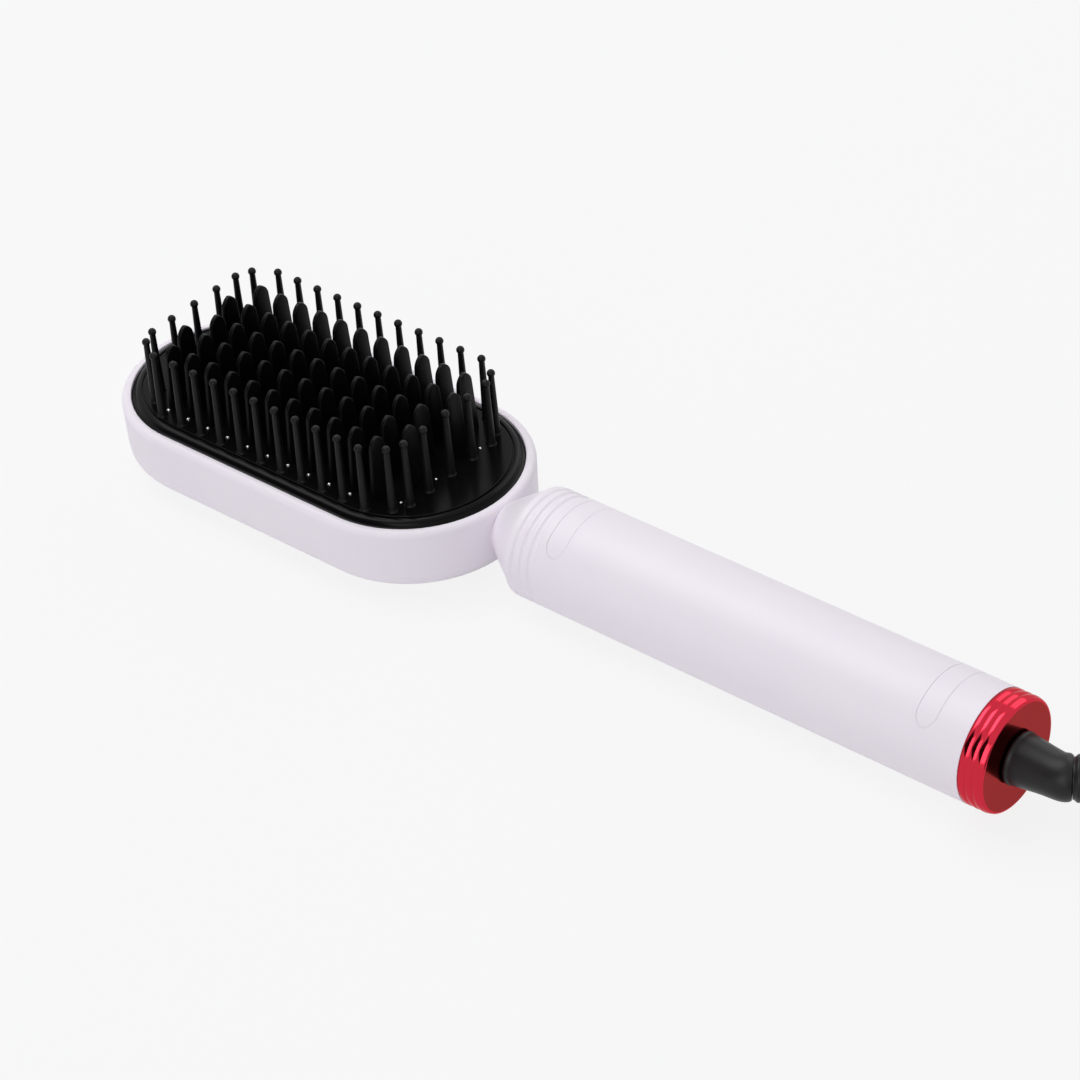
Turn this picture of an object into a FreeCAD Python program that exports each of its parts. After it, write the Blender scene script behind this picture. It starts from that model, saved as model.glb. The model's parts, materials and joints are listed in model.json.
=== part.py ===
"""Heated styling brush, in millimetres.

X runs along the brush from the head's tip to the end cap, Z is up and the bristles point up. The brush lies on
its back: Z = 0 is the floor, Y = 0 the plane of symmetry, and X = 0 the middle of its length.
"""
import FreeCAD
import Part
import math
import os

V = FreeCAD.Vector
UP = V(0, 0, 1)
ALONG = V(1, 0, 0)

# Handle, neck and cap
HANDLE_R = 15.5
HANDLE_WALL = 2.6
HANDLE_LENGTH = 143.1
HANDLE_EDGE = 0.8
CAP_LENGTH = 7.05
NECK_LENGTH = 10.05
NECK_HEAD_R = 7.55
NECK_SINK = 3.45
NECK_BORE_R = 5.0
SPIGOT_LENGTH = 9.5
RING_GROOVES = 3
RING_FIRST = 3.2
RING_PITCH = 2.7
RING_WIDTH = 1.9
RING_DEPTH = 0.4
COVER_WIDTH = 6.0
COVER_SPAN = 25.7
COVER_THICK = 0.9
COVER_GAP = 0.1
COVER_SCREW_GAP = 0.3
FRONT_COVER_AT = 14.8
REAR_COVER_AT = 12.1

# Head
HEAD_SPINE = 32.25
HEAD_R = 34.0
RIM_LEAN = 1.35
HEAD_TOP_Z = 23.4
HEAD_PAD_INSET = 25.1
HEAD_DOME_R = 44.3
HEAD_CORNER_R = 6.0
HEAD_FLOOR = 2.4
RIM_WALL = 2.4
LEDGE_WIDTH = 1.65
LEDGE_Z = 17.0
CAVITY_CORNER_R = 3.8
TONGUE_WIDTH = 16.0
TONGUE_THICK = 4.0
TONGUE_LENGTH = 13.0
TONGUE_Z = 6.0
TONGUE_GAP = 0.1

# Bristle frame, teeth and pins
PLATE_TOP_Z = 24.7
FRAME_UNDER_Z = 22.3
BEAD_INSET = 3.05
BEAD_WIDTH = 0.5
GROOVE_WIDTH = 0.8
GROOVE_DEPTH = 0.6
SKIRT_WALL = 1.85
TOOTH_PITCH = 7.5
TOOTH_ROWS_INSET = 7.2
TOOTH_THICK = 1.3
TOOTH_WIDTH = 5.6
TOOTH_TOP_Z = 43.7
TOOTH_ARCH = 3.5
TOOTH_SLOT_GAP = 0.25
LONG_ROW = 11
PIN_SIDE_INSET = 5.45
PIN_END_GAP = 4.85
PIN_END_SHARES = (0.0, 0.359, -0.359, 0.669, -0.669)
PIN_CORNER_STEP = 2.1
PIN_CORNER_SHARE = 0.851
PIN_BASE_R = 1.25
PIN_NECK_R = 0.82
PIN_BALL_R = 1.15
PIN_TIP_Z = 44.3
PIN_SEAT = 1.5

# Heater stack inside the head
STACK_SPINE = 26.0
HEAT_PLATE_INSET = 0.4
HEAT_PLATE_THICK = 3.0
ELEMENT_LENGTH = 68.0
ELEMENT_THICK = 2.0
ELEMENT_IN_Y = 5.0
ELEMENT_CLEAR = 2.8
SHEET_GAP = 1.3
SHEET_THICK = 0.5
CLAMP_THICK = 1.0
CLAMP_SCREW_X = (-24.0, -8.0, 8.0, 24.0)
TRAY_GAP = 3.2
TRAY_WALL = 1.6
TRAY_Z = 6.4
TRAY_BOSS_X = 30.0
TRAY_BOSS_INSET = 11.4
TRAY_BOSS_R = 3.2
BLOCK_INSET = 17.5
BLOCK_SIZE = (12.0, 14.0, 5.0)
FUSE_AT = (-26.0, 6.0)
FUSE_SIZE = (12.0, 4.0, 3.5)
SENSOR_AT = (2.0, -11.0)
SENSOR_SIZE = (5.0, 3.0, 2.2)

# Inside the handle
CHASSIS_FRONT = 10.5
CHASSIS_REAR = 8.6
CHASSIS_WIDTH = 18.0
CHASSIS_THICK = 2.0
CHASSIS_LIFT = 2.0
CHASSIS_BOSS_R = 3.5
PANEL_FRONT = 29.5
PANEL_LENGTH = 74.0
PANEL_WIDTH = 13.0
PANEL_LIP = 1.5
PANEL_GAP = 0.15
PANEL_R = 14.9
PANEL_INNER = 9.4
BOARD_WIDTH = 15.0
BOARD_THICK = 1.6
BOARD_DROP = 2.5
POST_R = 2.0
POST_Y = 5.5
POST_X = (2.5, 57.0)
LENS_X = 8.0
LENS_SIZE = (16.0, 8.0)
DISPLAY_EDGE = 3.0
BUTTON_X = (36.0, 50.0, 64.0)
BUTTON_R = 4.5
BUTTON_GAP = 0.3
BUTTON_FACE_R = 15.2
BUTTON_FLANGE_R = 5.6
BUTTON_FLANGE = 1.0
BUTTON_FLANGE_GAP = 0.1
BUTTON_TRAVEL = 0.6
SWITCH_SIZE = 6.0
LEAD_R = 0.8
HEATER_LEAD_Y = 2.0
MAINS_LEAD_Y = 6.0
CRIMP_LENGTH = 5.0
CRIMP_INSET = 3.0
TRIAC_AT = 28.0
TRIAC_SIZE = (10.0, 7.0, 4.0)
BOARD_FUSE_AT = 42.0
BOARD_FUSE_SIZE = (10.0, 4.0, 4.0)

# Swivel in the end cap
CAP_SLEEVE = 7.0
CAP_WALL = 1.5
CAP_DISC = 3.05
CAP_EDGE_R = 1.25
CAP_RIPPLES = 3
CAP_RIPPLE_DEPTH = 0.35
BUSH_R = 5.4
BUSH_FLANGE_R = 7.0
BUSH_FLANGE = 2.0
SHANK_R = 4.0
SHANK_FIT = 0.05
SWIVEL_GAP = 0.3
CLIP_R = 6.2
CLIP_THICK = 0.8
CARRIER_THICK = 1.6
CARRIER_HOLE_R = 4.6
SLIP_RING_R = 5.2
SLIP_RING_WIDTH = 1.6
SLIP_RING_AT = (1.4, 4.4)
BLADE_WIDTH = 3.0
BLADE_THICK = 0.6
BOOT_BASE_R = 7.1
BOOT_END_R = 5.85
BOOT_STRAIGHT = 10.6
BOOT_BEND_R = 8.0
BOOT_TURN = 32.0
RELIEF_LENGTH = 26.0
RELIEF_END_R = 4.2
RELIEF_RINGS = 6
RELIEF_RING_WIDTH = 1.6
RELIEF_CORE = 0.8

# Cord and plug
CORD_R = 3.0
CORD_LENGTH = 1800.0
LEAD_HEADINGS = (32.0, 20.0, 8.0, 0.0)
LEAD_RUNS = (14.0, 20.0, 20.0, 14.0)
LAYER_Z = (3.9, 10.4, 16.9)
TURNS_IN = 7
TURNS_OUT = 6
COIL_STEP = 3.25
FINAL_TURN_R = 34.0
PLUG_LENGTH = 32.0
PLUG_WIDTH = 25.0
PLUG_HEIGHT = 13.7
PLUG_ROUND = 3.0
PLUG_PIN_R = 2.0
PLUG_PIN_LENGTH = 19.0
PLUG_PIN_PITCH = 18.6
REST_GAP = 0.05
TIE_WIDTH = 8.0
TIE_THICK = 0.6
TIE_SIDE_GAP = 0.7
TIE_LAYER_GAP = 0.25

# Screws: shank radius, shank length, head radius, head height
CLAMP_SCREW = (1.0, 4.4, 1.9, 1.2)
TRAY_SCREW = (1.0, 4.2, 1.9, 1.2)
NECK_SCREW = (0.9, 5.6, 1.7, 1.0)
BOARD_SCREW = (0.8, 4.0, 1.5, 0.9)
HANDLE_SCREW = (1.1, 7.5, 2.2, 1.0)
NECK_SCREW_AT = 8.0
NECK_SCREW_Y = 5.0

# Places that follow from the sizes
HEAD_PAD_R = HEAD_R - HEAD_PAD_INSET
HEAD_RIM_R = HEAD_R - RIM_LEAN
FRAME_R = HEAD_RIM_R - RIM_WALL
LEDGE_R = FRAME_R - LEDGE_WIDTH
BEAD_R = FRAME_R - BEAD_INSET
PIN_SIDE_Y = FRAME_R - PIN_SIDE_INSET
PIN_END_X = TOOTH_PITCH * LONG_ROW / 2 + PIN_END_GAP
PIN_CORNER_X = PIN_END_X - PIN_CORNER_STEP
PIN_CORNER_Y = PIN_SIDE_Y * PIN_CORNER_SHARE
TOOTH_ROW = (PIN_SIDE_Y - TOOTH_ROWS_INSET) / 2
TRAY_R = LEDGE_R - TRAY_GAP
TRAY_BOSS_Y = TRAY_R - TRAY_BOSS_INSET
HEAT_PLATE_R = TRAY_R - HEAT_PLATE_INSET
SHEET_R = TRAY_R - TRAY_WALL - SHEET_GAP
BLOCK_AT = (STACK_SPINE + SHEET_R - BLOCK_INSET, -BLOCK_SIZE[1] / 2)
ELEMENT_OUT_Y = TRAY_R - TRAY_WALL - ELEMENT_CLEAR
TOTAL = 2 * (HEAD_SPINE + HEAD_R) + NECK_LENGTH + HANDLE_LENGTH + CAP_LENGTH
HEAD_X = HEAD_SPINE + HEAD_R - TOTAL / 2
HEAD_END_X = HEAD_X + HEAD_SPINE + HEAD_R
HANDLE_X = HEAD_END_X + NECK_LENGTH
CAP_X = HANDLE_X + HANDLE_LENGTH
END_X = CAP_X + CAP_LENGTH
AXIS_Z = HANDLE_R
BORE_R = HANDLE_R - HANDLE_WALL
COVER_X = (HANDLE_X + FRONT_COVER_AT, CAP_X - REAR_COVER_AT)
COVER_FLOOR_R = HANDLE_R - COVER_THICK
HEAT_PLATE_Z = FRAME_UNDER_Z - HEAT_PLATE_THICK
ELEMENT_Z = HEAT_PLATE_Z - ELEMENT_THICK
SHEET_Z = ELEMENT_Z - SHEET_THICK
CLAMP_Z = SHEET_Z - CLAMP_THICK
PANEL_X = HANDLE_X + PANEL_FRONT
PANEL_END_X = PANEL_X + PANEL_LENGTH
PANEL_Z = AXIS_Z - PANEL_INNER
BOARD_TOP_Z = AXIS_Z - BOARD_DROP
BOARD_Z = BOARD_TOP_Z - BOARD_THICK
CHASSIS_X = HANDLE_X + CHASSIS_FRONT
CHASSIS_END_X = CAP_X - CHASSIS_REAR
CHASSIS_Z = AXIS_Z + CHASSIS_LIFT
LEAD_Z = BOARD_TOP_Z + LEAD_R
CARRIER_X = CAP_X - CAP_SLEEVE - CARRIER_THICK
DISC_X = END_X - CAP_DISC
BOOT_X = END_X + SWIVEL_GAP
BEND_X = BOOT_X + BOOT_STRAIGHT


def cyl_x(radius, x0, x1, y=0.0, z=AXIS_Z):
    """A cylinder along X between two places."""
    return Part.makeCylinder(radius, x1 - x0, V(x0, y, z), ALONG)


def cyl_z(radius, z0, z1, x, y):
    """An upright cylinder between two heights."""
    return Part.makeCylinder(radius, z1 - z0, V(x, y, z0), UP)


def box(x0, x1, y0, y1, z0, z1):
    """A box between six planes."""
    return Part.makeBox(x1 - x0, y1 - y0, z1 - z0, V(x0, y0, z0))


def turned_x(profile):
    """A solid of revolution about the handle's axis from (x, radius) points; it closes along the axis."""
    points = [V(x, 0, AXIS_Z + r) for x, r in profile]
    first = V(points[0].x, 0, AXIS_Z)
    last = V(points[-1].x, 0, AXIS_Z)
    wire = Part.makePolygon([first] + points + [last, first])
    return Part.Face(wire).revolve(V(0, 0, AXIS_Z), ALONG, 360)


def stadium(spine, radius, z0, z1):
    """An upright prism with round ends on the head's centre; spine is half of its straight part."""
    middle = box(HEAD_X - spine, HEAD_X + spine, -radius, radius, z0, z1)
    ends = [cyl_z(radius, z0, z1, HEAD_X + side * spine, 0) for side in (-1, 1)]
    return middle.multiFuse(ends).removeSplitter()


def stadium_form(edges):
    """A solid with round ends whose section is a half profile of (r, 0, z) edges that closes on r = 0."""
    face = Part.Face(Part.Wire(edges))
    right = face.revolve(V(), UP, 180)
    turn = FreeCAD.Rotation(UP, -90)
    right.Placement = FreeCAD.Placement(V(HEAD_X + HEAD_SPINE, 0, 0), turn)
    left = face.revolve(V(), UP, 180)
    left.Placement = FreeCAD.Placement(V(HEAD_X - HEAD_SPINE, 0, 0), FreeCAD.Rotation(UP, 90))
    near = face.copy()
    near.Placement = FreeCAD.Placement(V(HEAD_X - HEAD_SPINE, 0, 0), turn)
    far = face.copy()
    far.Placement = FreeCAD.Placement(V(HEAD_X - HEAD_SPINE, 0, 0), FreeCAD.Rotation(UP, 90))
    length = V(2 * HEAD_SPINE, 0, 0)
    return right.multiFuse([left, near.extrude(length), far.extrude(length)]).removeSplitter()


def obround_z(x, y_half, width, z0, z1):
    """An upright prism, long across Y, with round ends."""
    straight = y_half - width / 2
    middle = box(x - width / 2, x + width / 2, -straight, straight, z0, z1)
    ends = [cyl_z(width / 2, z0, z1, x, side * straight) for side in (-1, 1)]
    return middle.multiFuse(ends).removeSplitter()


def obround_x(x0, x1, width, z0, z1):
    """An upright prism, long along X, with round ends."""
    radius = width / 2
    middle = box(x0 + radius, x1 - radius, -radius, radius, z0, z1)
    ends = [cyl_z(radius, z0, z1, x, 0) for x in (x0 + radius, x1 - radius)]
    return middle.multiFuse(ends).removeSplitter()


def screw(size, x, y, z, up):
    """A screw whose head sits on the plane z; its shank points up or down."""
    shank_r, length, head_r, height = size
    if up:
        return cyl_z(shank_r, z, z + length, x, y).fuse(cyl_z(head_r, z - height, z, x, y))
    return cyl_z(shank_r, z - length, z, x, y).fuse(cyl_z(head_r, z, z + height, x, y))


def arc_edge(start, heading, end):
    """The arc that leaves start along heading and reaches end, with its end heading."""
    chord = end - start
    across = chord - heading * chord.dot(heading)
    across.normalize()
    radius = chord.Length ** 2 / (2 * chord.dot(across))
    half = math.atan2(chord.dot(across), chord.dot(heading))
    centre = start + across * radius
    middle = centre - across * (radius * math.cos(half)) + heading * (radius * math.sin(half))
    leaving = heading * math.cos(2 * half) + across * math.sin(2 * half)
    return Part.Arc(start, middle, end).toShape(), leaving


def biarc(start, heading, end, end_heading):
    """Two arcs that join two places with given headings."""
    chord = end - start
    both = heading + end_heading
    spread = 2 * (1 - heading.dot(end_heading))
    along = chord.dot(both)
    reach = (math.sqrt(along ** 2 + spread * chord.dot(chord)) - along) / spread
    middle = (start + heading * reach + end - end_heading * reach) * 0.5
    first, turned = arc_edge(start, heading, middle)
    second, _ = arc_edge(middle, turned, end)
    return [first, second]


def rounded_route(points):
    """Straight runs through the points, joined by tangent arcs; also gives the tightest radius."""
    share = 0.45
    edges = []
    radii = []
    at = points[0]
    for before, corner, after in zip(points, points[1:], points[2:]):
        into = corner - before
        out = after - corner
        cut = share * min(into.Length, out.Length)
        half_turn = into.getAngle(out) / 2
        radii.append(cut / math.tan(half_turn))
        into.normalize()
        out.normalize()
        first = corner - into * cut
        last = corner + out * cut
        edges.append(Part.LineSegment(at, first).toShape())
        edges.append(arc_edge(first, into, last)[0])
        at = last
    edges.append(Part.LineSegment(at, points[-1]).toShape())
    return edges, min(radii)


def tube(edges, radius):
    """A solid round tube along joined edges."""
    wire = Part.Wire(edges)
    start = edges[0].valueAt(edges[0].FirstParameter)
    heading = edges[0].tangentAt(edges[0].FirstParameter)
    ring = Part.Wire(Part.makeCircle(radius, start, heading))
    return wire.makePipeShell([ring], True, False)


def half_profile(dome_r, corner_r, wall_r, top_r, top_z):
    """Half section of the head: flat pad, dome arc, corner arc, wall and flat top."""
    floor_z = HEAD_DOME_R - dome_r
    centre = V(HEAD_PAD_R, 0, HEAD_DOME_R)
    corner_x = wall_r - corner_r
    drop = math.sqrt((dome_r - corner_r) ** 2 - (corner_x - HEAD_PAD_R) ** 2)
    corner = V(corner_x, 0, HEAD_DOME_R - drop)
    outward = corner - centre
    outward.normalize()
    foot = V(0, 0, floor_z)
    pad = V(HEAD_PAD_R, 0, floor_z)
    touch = centre + outward * dome_r
    wall = V(wall_r, 0, corner.z)
    rim = V(top_r, 0, top_z)
    top = V(0, 0, top_z)
    dome, turned = arc_edge(pad, ALONG, touch)
    bend, _ = arc_edge(touch, turned, wall)
    lines = [(wall, rim), (rim, top), (top, foot)]
    first = Part.LineSegment(foot, pad).toShape()
    return [first, dome, bend] + [Part.LineSegment(a, b).toShape() for a, b in lines]


def head_outer():
    """The head's outer form, without its cavity."""
    return stadium_form(half_profile(HEAD_DOME_R, HEAD_CORNER_R, HEAD_R, HEAD_RIM_R, HEAD_TOP_Z))


def four_corners(x, y):
    """The four places at plus and minus x and y from the head's centre."""
    return [(HEAD_X + a * x, b * y) for a in (-1, 1) for b in (-1, 1)]


def head_shell(outer, cuts):
    """White half shell with a ledge for the frame, bosses for the tray and a saddle for the neck's tongue."""
    inner_dome = HEAD_DOME_R - HEAD_FLOOR
    cavity = stadium_form(half_profile(inner_dome, CAVITY_CORNER_R, LEDGE_R, LEDGE_R, LEDGE_Z))
    shell = outer.cut([cavity, stadium(HEAD_SPINE, FRAME_R, LEDGE_Z, HEAD_TOP_Z)])
    places = four_corners(TRAY_BOSS_X, TRAY_BOSS_Y)
    bosses = [cyl_z(TRAY_BOSS_R, HEAD_FLOOR / 2, TRAY_Z, x, y) for x, y in places]
    start = HEAD_END_X - TONGUE_LENGTH
    half = TONGUE_WIDTH / 2 + TONGUE_GAP
    saddle = box(start, HEAD_END_X, -half, half, 0, TONGUE_Z).common(outer)
    shell = shell.multiFuse(bosses + [saddle]).removeSplitter()
    tongue_top = TONGUE_Z + TONGUE_THICK + TONGUE_GAP
    slot = box(start, HEAD_END_X, -half, half, TONGUE_Z, tongue_top)
    window = box(start, HEAD_END_X, -NECK_BORE_R, NECK_BORE_R, TONGUE_Z, LEDGE_Z)
    return shell.cut([slot, window] + cuts)


def neck_collar(outer, cuts):
    """Cone between head and handle, with a tongue into the head and a spigot into the handle."""
    cone = turned_x([(HEAD_END_X - NECK_SINK, NECK_HEAD_R), (HANDLE_X, HANDLE_R - HANDLE_EDGE)]).cut(outer)
    half = TONGUE_WIDTH / 2
    top = TONGUE_Z + TONGUE_THICK
    tongue = box(HEAD_END_X - TONGUE_LENGTH, HEAD_END_X, -half, half, TONGUE_Z, top).common(outer)
    spigot = cyl_x(BORE_R, HANDLE_X, HANDLE_X + SPIGOT_LENGTH)
    bore = cyl_x(NECK_BORE_R, HEAD_END_X - TONGUE_LENGTH, HANDLE_X + SPIGOT_LENGTH)
    lead_way = bore.cut(box(HEAD_END_X - TONGUE_LENGTH, HEAD_END_X, -half, half, 0, top))
    return cone.multiFuse([tongue, spigot]).removeSplitter().cut([lead_way] + cuts)


def tooth_places():
    """Five rows; every second row is shifted by half a pitch and has one tooth more."""
    places = []
    for row in (-2, -1, 0, 1, 2):
        count = LONG_ROW + abs(row) % 2
        first = HEAD_X - TOOTH_PITCH * (count - 1) / 2
        places += [(first + TOOTH_PITCH * i, TOOTH_ROW * row) for i in range(count)]
    return places


def pin_places():
    """Guard pins: a row along each side, five across each end and one at each corner."""
    first = HEAD_X - TOOTH_PITCH * (LONG_ROW - 1) / 2
    places = [(first + TOOTH_PITCH * i, side * PIN_SIDE_Y) for i in range(LONG_ROW) for side in (-1, 1)]
    places += [(HEAD_X + a * PIN_END_X, b * PIN_SIDE_Y) for a in (-1, 1) for b in PIN_END_SHARES]
    return places + four_corners(PIN_CORNER_X, PIN_CORNER_Y)


def comb_teeth():
    """Flat blades with pointed-arch tops, standing on the heating plate."""
    half = TOOTH_WIDTH / 2
    left = -TOOTH_THICK / 2
    feet = [V(left, -half, FRAME_UNDER_Z), V(left, half, FRAME_UNDER_Z)]
    springs = [V(left, -half, TOOTH_TOP_Z - TOOTH_ARCH), V(left, half, TOOTH_TOP_Z - TOOTH_ARCH)]
    apex = V(left, 0, TOOTH_TOP_Z)
    arcs = [arc_edge(spring, UP, apex)[0] for spring in springs]
    base = Part.LineSegment(feet[0], feet[1]).toShape()
    sides = [Part.LineSegment(foot, spring).toShape() for foot, spring in zip(feet, springs)]
    outline = Part.Wire([base, sides[1], arcs[1], arcs[0], sides[0]])
    tooth = Part.Face(outline).extrude(V(TOOTH_THICK, 0, 0))
    return Part.Compound([tooth.translated(V(x, y, 0)) for x, y in tooth_places()])


def guard_pins():
    """Tapered pins with ball tips, seated in the frame."""
    meet = PIN_TIP_Z - math.sqrt(PIN_BALL_R ** 2 - PIN_NECK_R ** 2)
    seat_z = PLATE_TOP_Z - PIN_SEAT
    foot = [V(0, 0, seat_z), V(PIN_BASE_R, 0, seat_z), V(PIN_BASE_R, 0, PLATE_TOP_Z), V(PIN_NECK_R, 0, meet)]
    tip = V(0, 0, PIN_TIP_Z + PIN_BALL_R)
    ball = Part.Arc(foot[-1], V(PIN_BALL_R, 0, PIN_TIP_Z), tip).toShape()
    lines = [Part.LineSegment(a, b).toShape() for a, b in zip(foot, foot[1:])]
    axis = Part.LineSegment(tip, foot[0]).toShape()
    pin = Part.Face(Part.Wire(lines + [ball, axis])).revolve(V(), UP, 360)
    return Part.Compound([pin.translated(V(x, y, 0)) for x, y in pin_places()])


def bristle_frame():
    """Black frame: skirt on the shell's ledge, sloping border, bead, groove and inner plate with its slots."""
    skirt_r = FRAME_R - SKIRT_WALL
    bead_out = BEAD_R + BEAD_WIDTH / 2
    bead_in = BEAD_R - BEAD_WIDTH / 2
    bead_z = PLATE_TOP_Z + BEAD_WIDTH / 2
    groove_z = PLATE_TOP_Z - GROOVE_DEPTH
    plate_r = bead_in - GROOVE_WIDTH
    corners = [
        (0, FRAME_UNDER_Z), (skirt_r, FRAME_UNDER_Z), (skirt_r, LEDGE_Z), (FRAME_R, LEDGE_Z),
        (FRAME_R, HEAD_TOP_Z), (bead_out, PLATE_TOP_Z), (BEAD_R, bead_z), (bead_in, PLATE_TOP_Z),
        (bead_in, groove_z), (plate_r, groove_z), (plate_r, PLATE_TOP_Z), (0, PLATE_TOP_Z),
    ]
    points = [V(r, 0, z) for r, z in corners]
    edges = [Part.LineSegment(a, b).toShape() for a, b in zip(points, points[1:] + points[:1])]
    half_x = TOOTH_THICK / 2 + TOOTH_SLOT_GAP
    half_y = TOOTH_WIDTH / 2 + TOOTH_SLOT_GAP
    slots = [
        box(x - half_x, x + half_x, y - half_y, y + half_y, FRAME_UNDER_Z, PLATE_TOP_Z)
        for x, y in tooth_places()
    ]
    seats = [cyl_z(PIN_BASE_R, PLATE_TOP_Z - PIN_SEAT, PLATE_TOP_Z, x, y) for x, y in pin_places()]
    return stadium_form(edges).cut(slots + seats)


def heater_stack(screws):
    """The plates and heaters that the clamp screws hold together under the frame."""
    plate = stadium(STACK_SPINE, HEAT_PLATE_R, HEAT_PLATE_Z, FRAME_UNDER_Z)
    sheet = stadium(STACK_SPINE, SHEET_R, SHEET_Z, ELEMENT_Z)
    clamp = stadium(STACK_SPINE, SHEET_R, CLAMP_Z, SHEET_Z)
    half_x = ELEMENT_LENGTH / 2
    elements = [
        box(HEAD_X - half_x, HEAD_X + half_x, low, high, ELEMENT_Z, HEAT_PLATE_Z)
        for low, high in ((-ELEMENT_OUT_Y, -ELEMENT_IN_Y), (ELEMENT_IN_Y, ELEMENT_OUT_Y))
    ]
    return {
        "heating_plate": plate.cut(screws),
        "insulation_sheet": sheet.cut(screws),
        "clamp_plate": clamp.cut(screws),
        "heater_elements": Part.Compound(elements),
        "clamp_screws": Part.Compound(screws),
    }


def under_clamp(size, at):
    """A block of a given size that hangs on the clamp plate, from its corner nearest the head's tip."""
    x0 = HEAD_X + at[0]
    return box(x0, x0 + size[0], at[1], at[1] + size[1], CLAMP_Z - size[2], CLAMP_Z)


def heat_tray(screws):
    """Open tray under the heater stack, with a notch for the leads."""
    inner_r = TRAY_R - TRAY_WALL
    outer = stadium(STACK_SPINE, TRAY_R, TRAY_Z, HEAT_PLATE_Z)
    inner = stadium(STACK_SPINE, inner_r, TRAY_Z + TRAY_WALL, HEAT_PLATE_Z)
    end = HEAD_X + STACK_SPINE + TRAY_R
    notch = box(
        end - 2 * TRAY_WALL, end, -NECK_BORE_R, NECK_BORE_R, TONGUE_Z + TONGUE_THICK, HEAT_PLATE_Z,
    )
    return outer.cut([inner, notch] + screws)


def handle_tube(screws):
    """White tube with ring grooves, recesses for the covers and an opening for the control panel."""
    top = AXIS_Z + HANDLE_R
    rim = V(HANDLE_X, 0, top - HANDLE_EDGE)
    at = V(HANDLE_X + HANDLE_EDGE, 0, top)
    edges = [Part.LineSegment(V(HANDLE_X, 0, AXIS_Z), rim).toShape(), arc_edge(rim, UP, at)[0]]
    for i in range(RING_GROOVES):
        x = HANDLE_X + RING_FIRST + RING_PITCH * i
        first = V(x - RING_WIDTH / 2, 0, top)
        last = V(x + RING_WIDTH / 2, 0, top)
        edges.append(Part.LineSegment(at, first).toShape())
        edges.append(Part.Arc(first, V(x, 0, top - RING_DEPTH), last).toShape())
        at = last
    corners = [at, V(CAP_X, 0, top), V(CAP_X, 0, AXIS_Z), V(HANDLE_X, 0, AXIS_Z)]
    edges += [Part.LineSegment(a, b).toShape() for a, b in zip(corners, corners[1:])]
    body = Part.Face(Part.Wire(edges)).revolve(V(0, 0, AXIS_Z), ALONG, 360)
    opening = obround_x(PANEL_X, PANEL_END_X, PANEL_WIDTH, 0, PANEL_Z)
    floor = cyl_x(COVER_FLOOR_R, HANDLE_X, CAP_X)
    cuts = [cyl_x(BORE_R, HANDLE_X, CAP_X), opening]
    for x in COVER_X:
        recess = obround_z(x, COVER_SPAN / 2, COVER_WIDTH, AXIS_Z, AXIS_Z + HANDLE_R)
        cuts.append(recess.cut(floor))
        cuts.append(cyl_z(HANDLE_SCREW[2] + COVER_GAP, handle_screw_z(), AXIS_Z + HANDLE_R, x, 0))
    return body.cut(cuts + screws)


def handle_screw_z():
    """The seat of the screws under the covers: their heads end just below the cover's floor."""
    return AXIS_Z + COVER_FLOOR_R - HANDLE_SCREW[3] - COVER_SCREW_GAP


def screw_cover(x):
    """Curved obround strip that fills one recess of the handle."""
    strip = obround_z(x, COVER_SPAN / 2 - COVER_GAP, COVER_WIDTH - 2 * COVER_GAP, AXIS_Z, AXIS_Z + HANDLE_R)
    skin = cyl_x(HANDLE_R, x - COVER_WIDTH, x + COVER_WIDTH)
    return strip.common(skin.cut(cyl_x(COVER_FLOOR_R, x - COVER_WIDTH, x + COVER_WIDTH)))


def chassis(screws):
    """Carrier plate in the handle: bosses up to the screw covers, posts down to the circuit board."""
    half = CHASSIS_WIDTH / 2
    top = CHASSIS_Z + CHASSIS_THICK
    plate = box(CHASSIS_X, CHASSIS_END_X, -half, half, CHASSIS_Z, top)
    bore = cyl_x(BORE_R, CHASSIS_X, CHASSIS_END_X)
    bosses = [cyl_z(CHASSIS_BOSS_R, top, AXIS_Z + HANDLE_R, x, 0).common(bore) for x in COVER_X]
    posts = [cyl_z(POST_R, BOARD_TOP_Z, CHASSIS_Z, x, y) for x, y in post_places()]
    return plate.multiFuse(bosses + posts).removeSplitter().cut(screws)


def post_places():
    """The four fixing places of the circuit board."""
    return [(PANEL_X + x, side * POST_Y) for x in POST_X for side in (-1, 1)]


def on_board(size, at):
    """A component of a given size that stands on the board's middle line."""
    x0 = PANEL_X + at
    return box(x0, x0 + size[0], -size[1] / 2, size[1] / 2, BOARD_TOP_Z, BOARD_TOP_Z + size[2])


def lead_pair(x0, x1, y, crimp_x):
    """Two straight insulated leads with a crimp each on the board."""
    leads = []
    for side in (-1, 1):
        wire = cyl_x(LEAD_R, x0, x1, side * y, LEAD_Z)
        low = side * y - LEAD_R
        high = side * y + LEAD_R
        crimp = box(crimp_x, crimp_x + CRIMP_LENGTH, low, high, BOARD_TOP_Z, LEAD_Z + LEAD_R)
        leads.append(wire.fuse(crimp).removeSplitter())
    return Part.Compound(leads)


def lens_prism():
    """The display window's outline, from below the panel to its inner face."""
    x0 = PANEL_X + LENS_X
    return box(x0, x0 + LENS_SIZE[0], -LENS_SIZE[1] / 2, LENS_SIZE[1] / 2, 0, PANEL_Z)


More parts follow.
